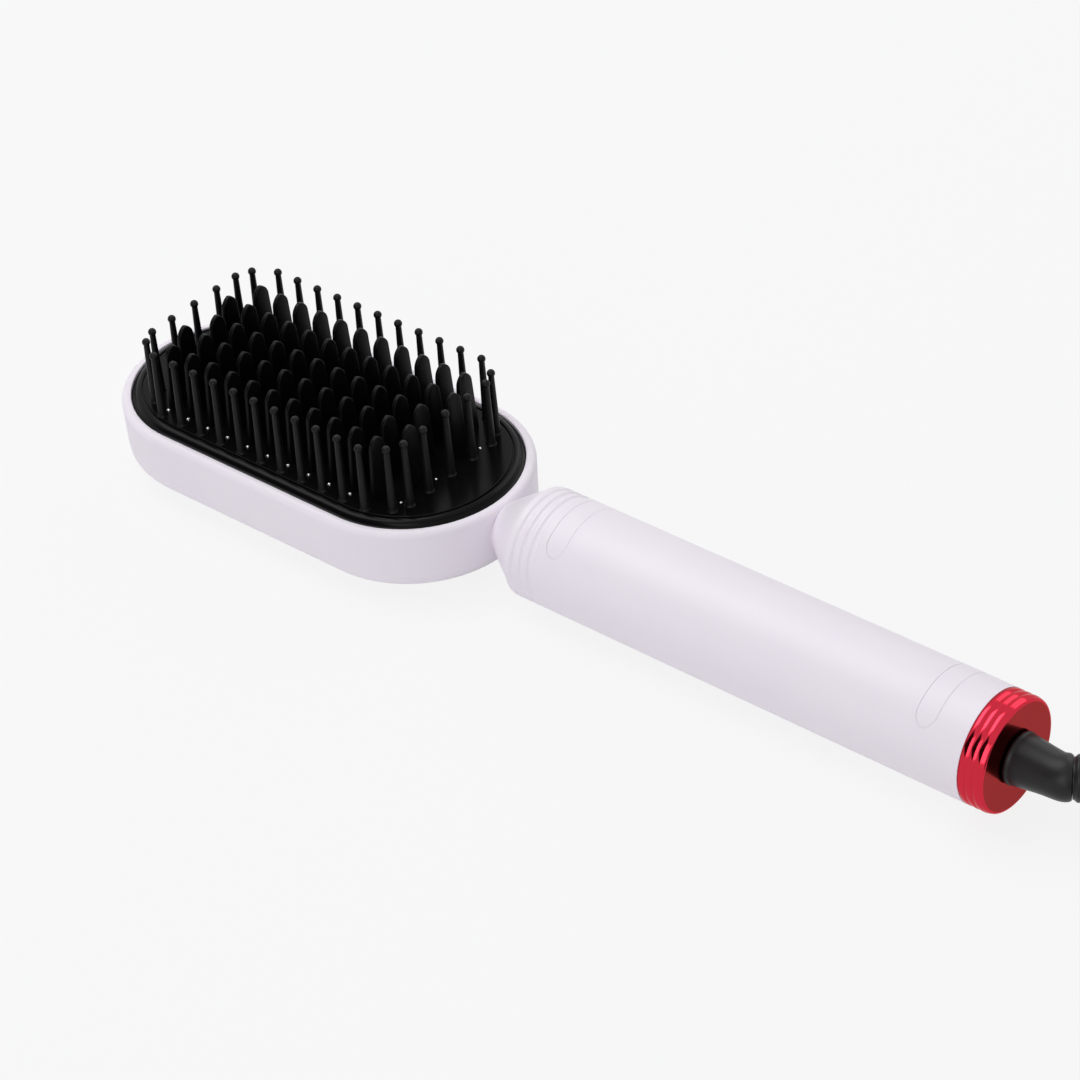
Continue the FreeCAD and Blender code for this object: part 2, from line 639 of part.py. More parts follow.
def control_panel():
    """Panel in the handle's back: it fills the opening and its lip bears on the bore."""
    inset = obround_x(PANEL_X + PANEL_GAP, PANEL_END_X - PANEL_GAP, PANEL_WIDTH - 2 * PANEL_GAP, 0, PANEL_Z)
    face = inset.common(cyl_x(PANEL_R, PANEL_X, PANEL_END_X))
    half = PANEL_WIDTH / 2 + PANEL_LIP
    x0 = PANEL_X - PANEL_LIP
    x1 = PANEL_END_X + PANEL_LIP
    lip = box(x0, x1, -half, half, 0, PANEL_Z).common(cyl_x(BORE_R, x0, x1))
    holes = [cyl_z(BUTTON_R + BUTTON_GAP, 0, PANEL_Z, PANEL_X + x, 0) for x in BUTTON_X]
    return face.fuse(lip).removeSplitter().cut(holes + [lens_prism()])


def display_module():
    """Display behind the window, between the panel and the board."""
    x0 = PANEL_X + LENS_X - DISPLAY_EDGE
    x1 = PANEL_X + LENS_X + LENS_SIZE[0] + DISPLAY_EDGE
    half = LENS_SIZE[1] / 2 + DISPLAY_EDGE / 2
    return box(x0, x1, -half, half, PANEL_Z, BOARD_Z)


def push_button(at):
    """Round button that follows the handle's curve, kept in the panel by its flange."""
    x = PANEL_X + at
    flange_z = PANEL_Z + BUTTON_FLANGE_GAP
    skin = cyl_x(BUTTON_FACE_R, x - BUTTON_FLANGE_R, x + BUTTON_FLANGE_R)
    stem = cyl_z(BUTTON_R, 0, flange_z + BUTTON_FLANGE, x, 0).common(skin)
    flange = cyl_z(BUTTON_FLANGE_R, flange_z, flange_z + BUTTON_FLANGE, x, 0)
    return stem.fuse(flange).removeSplitter()


def button_switches():
    """A switch on the board's underside above each button, just clear of the pressed button."""
    low = PANEL_Z + BUTTON_FLANGE + BUTTON_TRAVEL + 2 * BUTTON_FLANGE_GAP
    half = SWITCH_SIZE / 2
    places = [PANEL_X + x for x in BUTTON_X]
    return Part.Compound([box(x - half, x + half, -half, half, low, BOARD_Z) for x in places])


def end_cap():
    """Red cap: rippled side, rounded edge, flat end with the swivel's hole, sleeve in the handle's bore."""
    width = (CAP_LENGTH - CAP_EDGE_R) / CAP_RIPPLES
    valley = HANDLE_R - CAP_RIPPLE_DEPTH
    edges = [Part.LineSegment(V(CAP_X, 0, AXIS_Z), V(CAP_X, 0, AXIS_Z + valley)).toShape()]
    for i in range(CAP_RIPPLES):
        x = CAP_X + width * i
        crest = V(x + width / 2, 0, AXIS_Z + HANDLE_R)
        ends = [V(x, 0, AXIS_Z + valley), V(x + width, 0, AXIS_Z + valley)]
        edges.append(Part.Arc(ends[0], crest, ends[1]).toShape())
    shoulder = V(END_X - CAP_EDGE_R, 0, AXIS_Z + valley)
    rim = V(END_X, 0, AXIS_Z + valley - CAP_EDGE_R)
    edges.append(arc_edge(shoulder, ALONG, rim)[0])
    edges.append(Part.LineSegment(rim, V(END_X, 0, AXIS_Z)).toShape())
    edges.append(Part.LineSegment(V(END_X, 0, AXIS_Z), V(CAP_X, 0, AXIS_Z)).toShape())
    body = Part.Face(Part.Wire(edges)).revolve(V(0, 0, AXIS_Z), ALONG, 360)
    sleeve = cyl_x(BORE_R, CAP_X - CAP_SLEEVE, CAP_X)
    hollow = cyl_x(BORE_R - CAP_WALL, CAP_X - CAP_SLEEVE, DISC_X)
    return body.fuse(sleeve).removeSplitter().cut([hollow, cyl_x(BUSH_R, DISC_X, END_X)])


def ring_x(inner, outer, x0, x1):
    """A ring about the handle's axis."""
    return cyl_x(outer, x0, x1).cut(cyl_x(inner, x0, x1))


def swivel_parts():
    """Bush in the cap, and the clip, slip rings and contacts round the boot's shank."""
    flange_x = DISC_X - BUSH_FLANGE
    bush = cyl_x(BUSH_R, DISC_X, END_X).fuse(cyl_x(BUSH_FLANGE_R, flange_x, DISC_X)).removeSplitter()
    clip_end = flange_x - SWIVEL_GAP
    rear = CARRIER_X + CARRIER_THICK
    rings = [ring_x(SHANK_R, SLIP_RING_R, rear + at, rear + at + SLIP_RING_WIDTH) for at in SLIP_RING_AT]
    low = SLIP_RING_R + SWIVEL_GAP
    half = BLADE_WIDTH / 2
    ends = [rear + at + SLIP_RING_WIDTH for at in SLIP_RING_AT]
    upper = box(rear, ends[0], -half, half, AXIS_Z + low, AXIS_Z + low + BLADE_THICK)
    lower = box(rear, ends[1], -half, half, AXIS_Z - low - BLADE_THICK, AXIS_Z - low)
    return {
        "swivel_bush": bush.cut(cyl_x(SHANK_R + SHANK_FIT, flange_x, END_X)),
        "retaining_clip": ring_x(SHANK_R, CLIP_R, clip_end - CLIP_THICK, clip_end),
        "slip_rings": Part.Compound(rings),
        "contact_carrier": ring_x(CARRIER_HOLE_R, BORE_R, CARRIER_X, rear),
        "contact_blades": Part.Compound([upper, lower]),
    }


def swivel_boot():
    """Dark boot: shank in the bush, tapered collar and the bent part that leads the cord aside."""
    shank = cyl_x(SHANK_R, CARRIER_X + CARRIER_THICK / 2, BOOT_X)
    collar = Part.makeCone(BOOT_BASE_R, BOOT_END_R, BOOT_STRAIGHT, V(BOOT_X, 0, AXIS_Z), ALONG)
    disc = Part.Face(Part.Wire(Part.makeCircle(BOOT_END_R, V(BEND_X, 0, AXIS_Z), ALONG)))
    bend = disc.revolve(V(BEND_X, BOOT_BEND_R, AXIS_Z), UP, BOOT_TURN)
    return shank.multiFuse([collar, bend]).removeSplitter()


def cord_heading(degrees):
    """A level direction, turned from X towards Y."""
    return V(math.cos(math.radians(degrees)), math.sin(math.radians(degrees)), 0)


def boot_end():
    """The middle of the boot's far face."""
    turn = math.radians(BOOT_TURN)
    return V(BEND_X + BOOT_BEND_R * math.sin(turn), BOOT_BEND_R * (1 - math.cos(turn)), AXIS_Z)


def strain_relief():
    """Ringed taper that continues the boot."""
    gap = (RELIEF_LENGTH - RELIEF_RINGS * RELIEF_RING_WIDTH) / RELIEF_RINGS
    taper = (BOOT_END_R - RELIEF_END_R) / RELIEF_LENGTH
    pieces = []
    for i in range(RELIEF_RINGS):
        start = (gap + RELIEF_RING_WIDTH) * i
        middle = start + RELIEF_RING_WIDTH
        pieces.append((start, RELIEF_RING_WIDTH, 0.0))
        pieces.append((middle, gap, RELIEF_CORE))
    origin = boot_end()
    heading = cord_heading(BOOT_TURN)
    cones = []
    for start, length, inset in pieces:
        first = BOOT_END_R - taper * start - inset
        last = first - taper * length
        cones.append(Part.makeCone(first, last, length, origin + heading * start, heading))
    return cones[0].multiFuse(cones[1:]).removeSplitter()


def lead_points():
    """The cord from the strain relief down to the coil: level, two falling runs, level."""
    at = boot_end() + cord_heading(BOOT_TURN) * RELIEF_LENGTH
    fall = (at.z - LAYER_Z[0]) / (len(LEAD_RUNS) - 2)
    points = [at]
    for i, (degrees, run) in enumerate(zip(LEAD_HEADINGS, LEAD_RUNS)):
        level = i in (0, len(LEAD_RUNS) - 1)
        at = at + cord_heading(degrees) * run - UP * (0.0 if level else fall)
        points.append(at)
    return points


def plug_axis_z():
    """Height of the plug's middle when it lies on the coil's second layer."""
    return LAYER_Z[1] + CORD_R + REST_GAP + PLUG_HEIGHT / 2


def coil_route(start, lead_length):
    """Half turns that spiral in on one layer, climb, spiral out on the next and climb again to the plug.

    Each half turn is one step smaller than the one before, or larger on the way out. The outer radius follows
    from the cord's whole length.
    """
    steps = list(range(TURNS_IN + 1)) + [TURNS_IN - j for j in range(1, TURNS_OUT + 1)]
    straight = 2 * CORD_R
    rest = lead_length + 2 * straight + FINAL_TURN_R * math.pi / 2
    outer = ((CORD_LENGTH - rest) / math.pi + COIL_STEP * sum(steps)) / len(steps)
    at = start + ALONG * straight
    edges = [Part.LineSegment(start, at).toShape()]
    heading = V(ALONG)
    for n, step in enumerate(steps):
        layer = int(n >= TURNS_IN) + int(n == len(steps) - 1)
        side = -1 if n % 2 == 0 else 1
        end = V(at.x, at.y + side * 2 * (outer - step * COIL_STEP), LAYER_Z[layer])
        edges += biarc(at, heading, end, heading * -1)
        at = end
        heading = heading * -1
    towards = V(0, -1, 0)
    end = V(at.x + FINAL_TURN_R, at.y - FINAL_TURN_R, plug_axis_z())
    edges += biarc(at, heading, end, towards)
    tail = end + towards * straight
    edges.append(Part.LineSegment(end, tail).toShape())
    return edges, tail, outer


def self_gap(edges, samples=12):
    """The least gap between parts of a tube that are not neighbours along it, measured on points."""
    points = []
    for edge in edges:
        points += edge.discretize(Number=samples)[:-1]
    path = [0.0]
    for a, b in zip(points, points[1:]):
        path.append(path[-1] + a.distanceToPoint(b))
    apart = math.pi * 2 * CORD_R
    least = min(
        points[i].distanceToPoint(points[j])
        for i in range(len(points)) for j in range(i) if path[i] - path[j] > apart
    )
    return least - 2 * CORD_R


def cord_tie(start, outer):
    """Strap round all loops where they cross the coil's near side."""
    x = start.x + 2 * CORD_R
    low_y = start.y - 2 * outer - CORD_R - TIE_SIDE_GAP
    high_y = start.y - 2 * outer + COIL_STEP * (TURNS_IN - 1) + CORD_R + TIE_SIDE_GAP
    low_z = LAYER_Z[0] - CORD_R - TIE_LAYER_GAP
    high_z = LAYER_Z[1] + CORD_R + TIE_LAYER_GAP
    half = TIE_WIDTH / 2
    inner = box(x - half, x + half, low_y, high_y, low_z, high_z)
    t = TIE_THICK
    return box(x - half, x + half, low_y - t, high_y + t, low_z - t, high_z + t).cut(inner)


def plug_body(tail):
    """Flat plug with rounded long edges, lying on the coil."""
    half_x = PLUG_WIDTH / 2
    half_z = PLUG_HEIGHT / 2
    block = box(
        tail.x - half_x, tail.x + half_x, tail.y - PLUG_LENGTH, tail.y, tail.z - half_z, tail.z + half_z,
    )
    long_edges = [e for e in block.Edges if abs(e.Length - PLUG_LENGTH) < REST_GAP]
    return block.makeFillet(PLUG_ROUND, long_edges)


def plug_pins(tail):
    """Two round pins."""
    front = tail.y - PLUG_LENGTH
    half = PLUG_PIN_PITCH / 2
    return Part.Compound([
        Part.makeCylinder(PLUG_PIN_R, PLUG_PIN_LENGTH, V(tail.x + side * half, front, tail.z), V(0, -1, 0))
        for side in (-1, 1)
    ])


def cord_parts():
    """The cord from the strain relief to the plug, with its tie; prints its bends, gap and volumes."""
    points = lead_points()
    lead_edges, tightest = rounded_route(points)
    lead_length = sum(edge.Length for edge in lead_edges)
    coil_edges, tail, outer = coil_route(points[-1], lead_length)
    coil_length = sum(edge.Length for edge in coil_edges)
    lead = tube(lead_edges, CORD_R)
    coil = tube(coil_edges, CORD_R)
    section = math.pi * CORD_R ** 2
    print("lead: length %.1f, tightest radius %.1f" % (lead_length, tightest))
    print("coil: length %.1f, outer radius %.2f, self gap %.2f" % (coil_length, outer, self_gap(coil_edges)))
    print("volume shares: %.4f %.4f" % (
        lead.Volume / (section * lead_length), coil.Volume / (section * coil_length)))
    return {
        "cord_lead": lead,
        "cord_coil": coil,
        "cord_tie": cord_tie(points[-1], outer),
        "plug_body": plug_body(tail),
        "plug_pins": plug_pins(tail),
    }


def build():
    """Every sub-part by its node name."""
    outer = head_outer()
    clamp_screws = [screw(CLAMP_SCREW, HEAD_X + x, 0, CLAMP_Z, True) for x in CLAMP_SCREW_X]
    tray_places = four_corners(TRAY_BOSS_X, TRAY_BOSS_Y)
    tray_screws = [screw(TRAY_SCREW, x, y, TRAY_Z + TRAY_WALL, False) for x, y in tray_places]
    neck_x = HEAD_END_X - NECK_SCREW_AT
    tongue_top = TONGUE_Z + TONGUE_THICK
    neck_screws = [screw(NECK_SCREW, neck_x, side * NECK_SCREW_Y, tongue_top, False) for side in (-1, 1)]
    handle_screws = [screw(HANDLE_SCREW, x, 0, handle_screw_z(), False) for x in COVER_X]
    board_screws = [screw(BOARD_SCREW, x, y, BOARD_Z, True) for x, y in post_places()]
    half_board = BOARD_WIDTH / 2
    board = box(PANEL_X, PANEL_END_X, -half_board, half_board, BOARD_Z, BOARD_TOP_Z)
    block_end = HEAD_X + BLOCK_AT[0] + BLOCK_SIZE[0]
    heater_crimp = PANEL_X + CRIMP_INSET
    mains_crimp = PANEL_END_X - CRIMP_INSET - CRIMP_LENGTH
    minus, power, plus = [push_button(at) for at in BUTTON_X]
    parts = {
        "head_shell": head_shell(outer, tray_screws + neck_screws),
        "neck_collar": neck_collar(outer, neck_screws),
        "bristle_frame": bristle_frame(),
        "guard_pins": guard_pins(),
        "comb_teeth": comb_teeth(),
        "thermal_fuse": under_clamp(FUSE_SIZE, FUSE_AT),
        "thermistor": under_clamp(SENSOR_SIZE, SENSOR_AT),
        "terminal_block": under_clamp(BLOCK_SIZE, BLOCK_AT),
        "heat_tray": heat_tray(tray_screws),
        "tray_screws": Part.Compound(tray_screws),
        "neck_screws": Part.Compound(neck_screws),
        "handle_tube": handle_tube(handle_screws),
        "front_screw_cover": screw_cover(COVER_X[0]),
        "rear_screw_cover": screw_cover(COVER_X[1]),
        "handle_screws": Part.Compound(handle_screws),
        "chassis": chassis(handle_screws + board_screws),
        "circuit_board": board.cut(board_screws),
        "board_screws": Part.Compound(board_screws),
        "triac": on_board(TRIAC_SIZE, TRIAC_AT),
        "board_fuse": on_board(BOARD_FUSE_SIZE, BOARD_FUSE_AT),
        "heater_leads": lead_pair(block_end, heater_crimp + CRIMP_LENGTH, HEATER_LEAD_Y, heater_crimp),
        "mains_leads": lead_pair(mains_crimp, CARRIER_X, MAINS_LEAD_Y, mains_crimp),
        "control_panel": control_panel(),
        "display_lens": lens_prism().common(cyl_x(PANEL_R, PANEL_X, PANEL_END_X)),
        "display_module": display_module(),
        "minus_button": minus,
        "power_button": power,
        "plus_button": plus,
        "button_switches": button_switches(),
        "end_cap": end_cap(),
        "swivel_boot": swivel_boot(),
        "strain_relief": strain_relief(),
    }
    parts.update(heater_stack(clamp_screws))
    parts.update(swivel_parts())
    parts.update(cord_parts())
    return parts


def main():
    """Writes one STEP file per sub-part and prints its solids and volume."""
    os.makedirs("parts", exist_ok=True)
    for name, shape in build().items():
        print("%s: %d solids, %.1f mm3, valid %s" % (name, len(shape.Solids), shape.Volume, shape.isValid()))
        shape.exportStep("parts/%s.step" % name)


main()
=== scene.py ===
"""Looks of a heated styling brush that lies on its back, with its cord put away beside it.

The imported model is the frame. Every new piece is a numpy surface in that frame, rides on one of its bodies
and stands for the solids it replaces. Sizes are written in millimetres and turned to metres by MM.
"""
import json
import logging
import math
from dataclasses import dataclass
from enum import Enum

import bmesh
import bpy
import numpy as np
from mathutils import Matrix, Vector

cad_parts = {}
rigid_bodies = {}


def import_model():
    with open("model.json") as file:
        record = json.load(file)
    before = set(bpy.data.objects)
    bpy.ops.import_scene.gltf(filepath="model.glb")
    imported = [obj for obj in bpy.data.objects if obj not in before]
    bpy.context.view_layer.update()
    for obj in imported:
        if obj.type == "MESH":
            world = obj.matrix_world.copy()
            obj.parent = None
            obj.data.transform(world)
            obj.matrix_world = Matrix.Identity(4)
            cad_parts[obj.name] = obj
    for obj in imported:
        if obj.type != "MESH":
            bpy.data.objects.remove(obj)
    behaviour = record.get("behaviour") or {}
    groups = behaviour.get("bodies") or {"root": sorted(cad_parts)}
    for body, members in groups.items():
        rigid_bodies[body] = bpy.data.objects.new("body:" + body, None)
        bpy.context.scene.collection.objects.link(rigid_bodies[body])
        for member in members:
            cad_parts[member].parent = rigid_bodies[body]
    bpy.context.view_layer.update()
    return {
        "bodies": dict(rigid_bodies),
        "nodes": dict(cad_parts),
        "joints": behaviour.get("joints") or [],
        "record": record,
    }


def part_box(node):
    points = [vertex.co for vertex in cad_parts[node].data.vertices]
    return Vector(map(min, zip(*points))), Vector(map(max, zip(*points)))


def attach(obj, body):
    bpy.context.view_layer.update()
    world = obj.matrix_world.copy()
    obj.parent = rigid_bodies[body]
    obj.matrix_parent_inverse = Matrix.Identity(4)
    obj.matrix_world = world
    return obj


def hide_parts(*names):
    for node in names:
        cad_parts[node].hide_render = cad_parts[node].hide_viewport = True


Array = np.ndarray
Pair = tuple[np.ndarray, np.ndarray]
Triple = tuple[float, float, float]

LOG = logging.getLogger("styling_brush")
MM = 0.001
UP = np.array([0.0, 0.0, 1.0])
TO_CORD = np.array([1.0, 0.0, 0.0])
# Finishes: scales per metre of the slow colour drift and of the roughness, and values that all of them share.
DRIFT_PER_M, SHINE_PER_M = 38.0, 260.0
NOISE_DETAIL, RING_WAVER = 3.0, 1.5
COAT_ROUGHNESS, LEAST_ROUGHNESS = 0.08, 0.02
# Meshes: points closer than WELD become one, and faces thinner than SLIVER go, in metres.
WELD, SLIVER = 2e-6, 1e-7
SHARP_DEG = 38.0


class Body(Enum):
    """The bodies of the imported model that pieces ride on."""

    BRUSH = "brush"
    SWIVEL = "swivel"
    MINUS = "minus_button"
    POWER = "power_button"
    PLUS = "plus_button"


class Pattern(Enum):
    """The finest pattern of a finish, which lifts its surface."""

    MOULDED = "moulded"
    TURNED = "turned"
    GRAINED = "grained"


@dataclass(frozen=True)
class Finish:
    """A surface finish that becomes one node material.

    The colour drifts slowly to a second tone, the roughness follows a finer noise, and a third, finest pattern
    lifts the surface: noise on mouldings, rings about the handle's axis on turned metal, cells on rubber.
    """

    name: str
    colour: Triple
    tone: Triple
    roughness: float
    spread: float = 0.05
    metallic: float = 0.0
    coat: float = 0.0
    specular: float = 0.5
    edge: Triple = (1.0, 1.0, 1.0)
    grain_per_m: float = 1800.0
    lift_um: float = 6.0
    lift: float = 0.12
    pattern: Pattern = Pattern.MOULDED

    def material(self) -> bpy.types.Material:
        """Gives the finish's material, which is made at its first use.

        Returns:
            The Blender material with its node tree.
        """
        found = bpy.data.materials.get(self.name)
        if found:
            return found
        made = bpy.data.materials.new(self.name)
        made.use_nodes = True
        tree = made.node_tree
        nodes, links = tree.nodes, tree.links
        shader = nodes["Principled BSDF"]
        shader.inputs["Metallic"].default_value = self.metallic
        shader.inputs["Specular IOR Level"].default_value = self.specular
        shader.inputs["Specular Tint"].default_value = (*self.edge, 1.0)
        shader.inputs["Coat Weight"].default_value = self.coat
        shader.inputs["Coat Roughness"].default_value = COAT_ROUGHNESS
        place = nodes.new("ShaderNodeTexCoord").outputs["Object"]
        mix = nodes.new("ShaderNodeMix")
        mix.data_type = "RGBA"
        mix.inputs["A"].default_value = (*self.colour, 1.0)
        mix.inputs["B"].default_value = (*self.tone, 1.0)
        links.new(self._noise(tree, place, DRIFT_PER_M), mix.inputs["Factor"])
        links.new(mix.outputs["Result"], shader.inputs["Base Color"])
        shine = nodes.new("ShaderNodeMapRange")
        shine.inputs["To Min"].default_value = max(self.roughness - self.spread, LEAST_ROUGHNESS)
        shine.inputs["To Max"].default_value = self.roughness + self.spread
        links.new(self._noise(tree, place, SHINE_PER_M), shine.inputs["Value"])
        links.new(shine.outputs["Result"], shader.inputs["Roughness"])
        bump = nodes.new("ShaderNodeBump")
        bump.inputs["Strength"].default_value = self.lift
        bump.inputs["Distance"].default_value = self.lift_um * 1e-6
        links.new(self._height(tree, place), bump.inputs["Height"])
        links.new(bump.outputs["Normal"], shader.inputs["Normal"])
        return made

    @staticmethod
    def _noise(tree: bpy.types.NodeTree, place: bpy.types.NodeSocket, scale: float) -> bpy.types.NodeSocket:
        """Adds a noise.

        Args:
            tree: The material's node tree.
            place: The coordinates that it reads.
            scale: Its scale per metre.

        Returns:
            The socket of its value.
        """
        noise = tree.nodes.new("ShaderNodeTexNoise")
        noise.inputs["Scale"].default_value = scale
        noise.inputs["Detail"].default_value = NOISE_DETAIL
        tree.links.new(place, noise.inputs["Vector"])
        return noise.outputs["Fac"]

    def _height(self, tree: bpy.types.NodeTree, place: bpy.types.NodeSocket) -> bpy.types.NodeSocket:
        """Adds the finest pattern that the finish calls for.

        Args:
            tree: The material's node tree.
            place: The coordinates that it reads.

        Returns:
            The socket of its height.
        """
        if self.pattern is Pattern.MOULDED:
            return self._noise(tree, place, self.grain_per_m)
        if self.pattern is Pattern.TURNED:
            texture = tree.nodes.new("ShaderNodeTexWave")
            texture.wave_type = "BANDS"
            texture.bands_direction = "X"
            texture.inputs["Distortion"].default_value = RING_WAVER
            height = texture.outputs["Fac"]
        else:
            texture = tree.nodes.new("ShaderNodeTexVoronoi")
            height = texture.outputs["Distance"]
        texture.inputs["Scale"].default_value = self.grain_per_m
        tree.links.new(place, texture.inputs["Vector"])
        return height


WHITE = Finish("white_moulding", (0.87, 0.815, 0.88), (0.84, 0.785, 0.86), 0.45, specular=0.4)
GLOSS_BLACK = Finish("polished_black", (0.0030, 0.0026, 0.0030), (0.0045, 0.004, 0.0045), 0.19, specular=0.085)
TOOTH_BLACK = Finish("black_teeth", (0.0025, 0.0023, 0.0026), (0.004, 0.0038, 0.0042), 0.36, specular=0.1)
PIN_BLACK = Finish("black_pins", (0.004, 0.0038, 0.0042), (0.006, 0.0057, 0.0062), 0.42, specular=0.16)
RED = Finish(
    "red_lacquer", (0.62, 0.030, 0.055), (0.56, 0.024, 0.046), 0.12, 0.03, metallic=1.0,
    edge=(0.9, 0.6, 0.6), grain_per_m=2600.0, lift_um=3.0, lift=0.06, pattern=Pattern.TURNED,
)
# Painted shade: a darker copy of the red lacquer for the cap's flat end face, standing in for the dimmer
# reflection that the face shows.
RED_FACE_SHADED = Finish(
    "red_end_face_painted_shade", (0.36, 0.016, 0.022), (0.28, 0.010, 0.015), 0.16, 0.03, metallic=1.0,
    edge=(0.76, 0.65, 0.62), grain_per_m=2200.0, lift_um=3.0, lift=0.08,
)
BOOT_BLACK = Finish(
    "soft_rubber", (0.012, 0.0110, 0.012), (0.017, 0.0157, 0.017), 0.38, specular=0.22, grain_per_m=3200.0,
    lift_um=12.0, lift=0.2, pattern=Pattern.GRAINED,
)
CORD_BLACK = Finish(
    "cord_sheath", (0.024, 0.024, 0.026), (0.034, 0.034, 0.036), 0.5, grain_per_m=2600.0, lift_um=14.0,
    lift=0.2, pattern=Pattern.GRAINED,
)
NICKEL = Finish(
    "nickel", (0.72, 0.70, 0.67), (0.66, 0.65, 0.63), 0.22, metallic=1.0, lift_um=2.0, pattern=Pattern.TURNED,
)
CAST = Finish("cast_alloy", (0.60, 0.61, 0.63), (0.53, 0.54, 0.56), 0.42, 0.1, metallic=1.0, lift_um=20.0)
ZINC = Finish("zinc_plate", (0.55, 0.56, 0.60), (0.47, 0.48, 0.51), 0.33, 0.1, metallic=1.0)
CERAMIC = Finish("fired_ceramic", (0.78, 0.75, 0.69), (0.70, 0.67, 0.60), 0.6, lift_um=25.0, lift=0.3)
MICA = Finish("pressed_mica", (0.50, 0.42, 0.29), (0.38, 0.31, 0.20), 0.55, 0.15, lift_um=30.0, lift=0.4)
DARK_MOULDING = Finish("dark_moulding", (0.07, 0.07, 0.075), (0.05, 0.05, 0.054), 0.5, lift_um=15.0)
BOARD = Finish("board_mask", (0.020, 0.16, 0.065), (0.015, 0.12, 0.05), 0.4, coat=0.3)
BRASS = Finish("stamped_brass", (0.70, 0.48, 0.17), (0.62, 0.42, 0.14), 0.25, metallic=1.0)
SILICONE = Finish("lead_sheath", (0.62, 0.60, 0.55), (0.52, 0.51, 0.47), 0.55, pattern=Pattern.GRAINED)
SMOKED = Finish("smoked_window", (0.014, 0.014, 0.017), (0.020, 0.020, 0.024), 0.08, 0.02, coat=0.6)
MODULE = Finish("display_module", (0.30, 0.32, 0.32), (0.25, 0.27, 0.27), 0.5)
MARK_GREY = Finish("symbol_grey", (0.55, 0.55, 0.57), (0.48, 0.48, 0.50), 0.5)

SLOT_FINISH = {
    "white_plastic": WHITE, "black_gloss": GLOSS_BLACK, "black_satin": PIN_BLACK, "red_metal": RED,
    "boot_rubber": BOOT_BLACK, "cord_rubber": CORD_BLACK, "pin_metal": NICKEL, "aluminium": CAST,
    "steel": ZINC, "ceramic": CERAMIC, "mica": MICA, "heat_plastic": DARK_MOULDING, "board_green": BOARD,
    "contact_brass": BRASS, "wire_sheath": SILICONE, "display_glass": SMOKED, "display_grey": MODULE,
}


def box_mm(node: str) -> Pair:
    """Returns the low and the high corner of a CAD node's box in millimetres."""
    low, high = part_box(node)
    return np.array(low) / MM, np.array(high) / MM


def link(name: str, data: bpy.types.ID) -> bpy.types.Object:
    """Puts data into the scene as an object at the origin.

    Args:
        name: The object's name.
        data: Its mesh, curve, lamp or camera.

    Returns:
        The new object.
    """
    made = bpy.data.objects.new(name, data)
    bpy.context.scene.collection.objects.link(made)
    return made


def arc(centre: tuple[float, float], radius: float, first: float, last: float, count: int) -> Array:
    """Points on a circle: centre plus radius times (cos, sin) of evenly spaced angles.

    Args:
        centre: The circle's centre.
        radius: Its radius.
        first: First angle in degrees.
        last: Last angle in degrees.
        count: How many points.

    Returns:
        An array of shape (count, 2).
    """
    turn = np.radians(np.linspace(first, last, count))
    return np.column_stack([centre[0] + radius * np.cos(turn), centre[1] + radius * np.sin(turn)])


def oblong(count: int, power: float) -> Pair:
    """A rounded oblong of half size 1: sign(cos t) |cos t|^p and sign(sin t) |sin t|^p, for t once round.

    Args:
        count: How many points.
        power: The exponent p; less than 1 squares the oblong.

    Returns:
        Its two coordinates, each of shape (count,).
    """
    turn = np.linspace(0.0, 2 * np.pi, count, endpoint=False)
    first, second = np.cos(turn), np.sin(turn)
    return np.sign(first) * np.abs(first) ** power, np.sign(second) * np.abs(second) ** power


def grid_quads(rows: int, columns: int, close_columns: bool = True, close_rows: bool = False) -> Array:
    """Quads between neighbours of a grid whose vertex number is row times columns plus column.

    Args:
        rows: Grid rows.
        columns: Grid columns.
        close_columns: Whether the last column joins the first.
        close_rows: Whether the last row joins the first.

    Returns:
        Vertex numbers, shape (n, 4).
    """
    row = np.arange(rows if close_rows else rows - 1)[:, None]
    column = np.arange(columns if close_columns else columns - 1)[None, :]
    below, right = (row + 1) % rows, (column + 1) % columns
    corners = [
        row * columns + column, row * columns + right, below * columns + right, below * columns + column,
    ]
    return np.stack(np.broadcast_arrays(*corners), axis=-1).reshape(-1, 4)


def repeat_at(points: Array, quads: Array, places: Array) -> Pair:
    """Copies one shape to many places: each copy is the points plus its place.

    Args:
        points: The shape's points, shape (n, 3).
        quads: Its faces.
        places: One offset per copy, shape (k, 3).

    Returns:
        All points and all faces.
    """
    moved = (points[None, :, :] + places[:, None, :]).reshape(-1, 3)
    numbers = quads[None, :, :] + (np.arange(len(places)) * len(points))[:, None, None]
    return moved, numbers.reshape(-1, quads.shape[1])


def about_axis(profile: Array, segments: int, origin: Array, axis: Array) -> Pair:
    """Turns a profile about an axis: point = origin + a axis + r (cos t side + sin t other).

    Args:
        profile: Rows of (a, r), along the axis and away from it, in millimetres.
        segments: Steps round the axis.
        origin: A point of the axis, in millimetres.
        axis: The axis as a unit vector, upright or level.

    Returns:
        Points in millimetres and quads; profile ends on r = 0 close to poles.
    """
    side = np.cross(TO_CORD if axis[2] else UP, axis)
    side /= np.linalg.norm(side)
    other = np.cross(axis, side)
    turn = np.linspace(0.0, 2 * np.pi, segments, endpoint=False)
    ring = np.cos(turn)[:, None] * side + np.sin(turn)[:, None] * other
    points = origin + profile[:, :1, None] * axis + profile[:, 1:, None] * ring[None, :, :]
    return points.reshape(-1, 3), grid_quads(len(profile), segments)


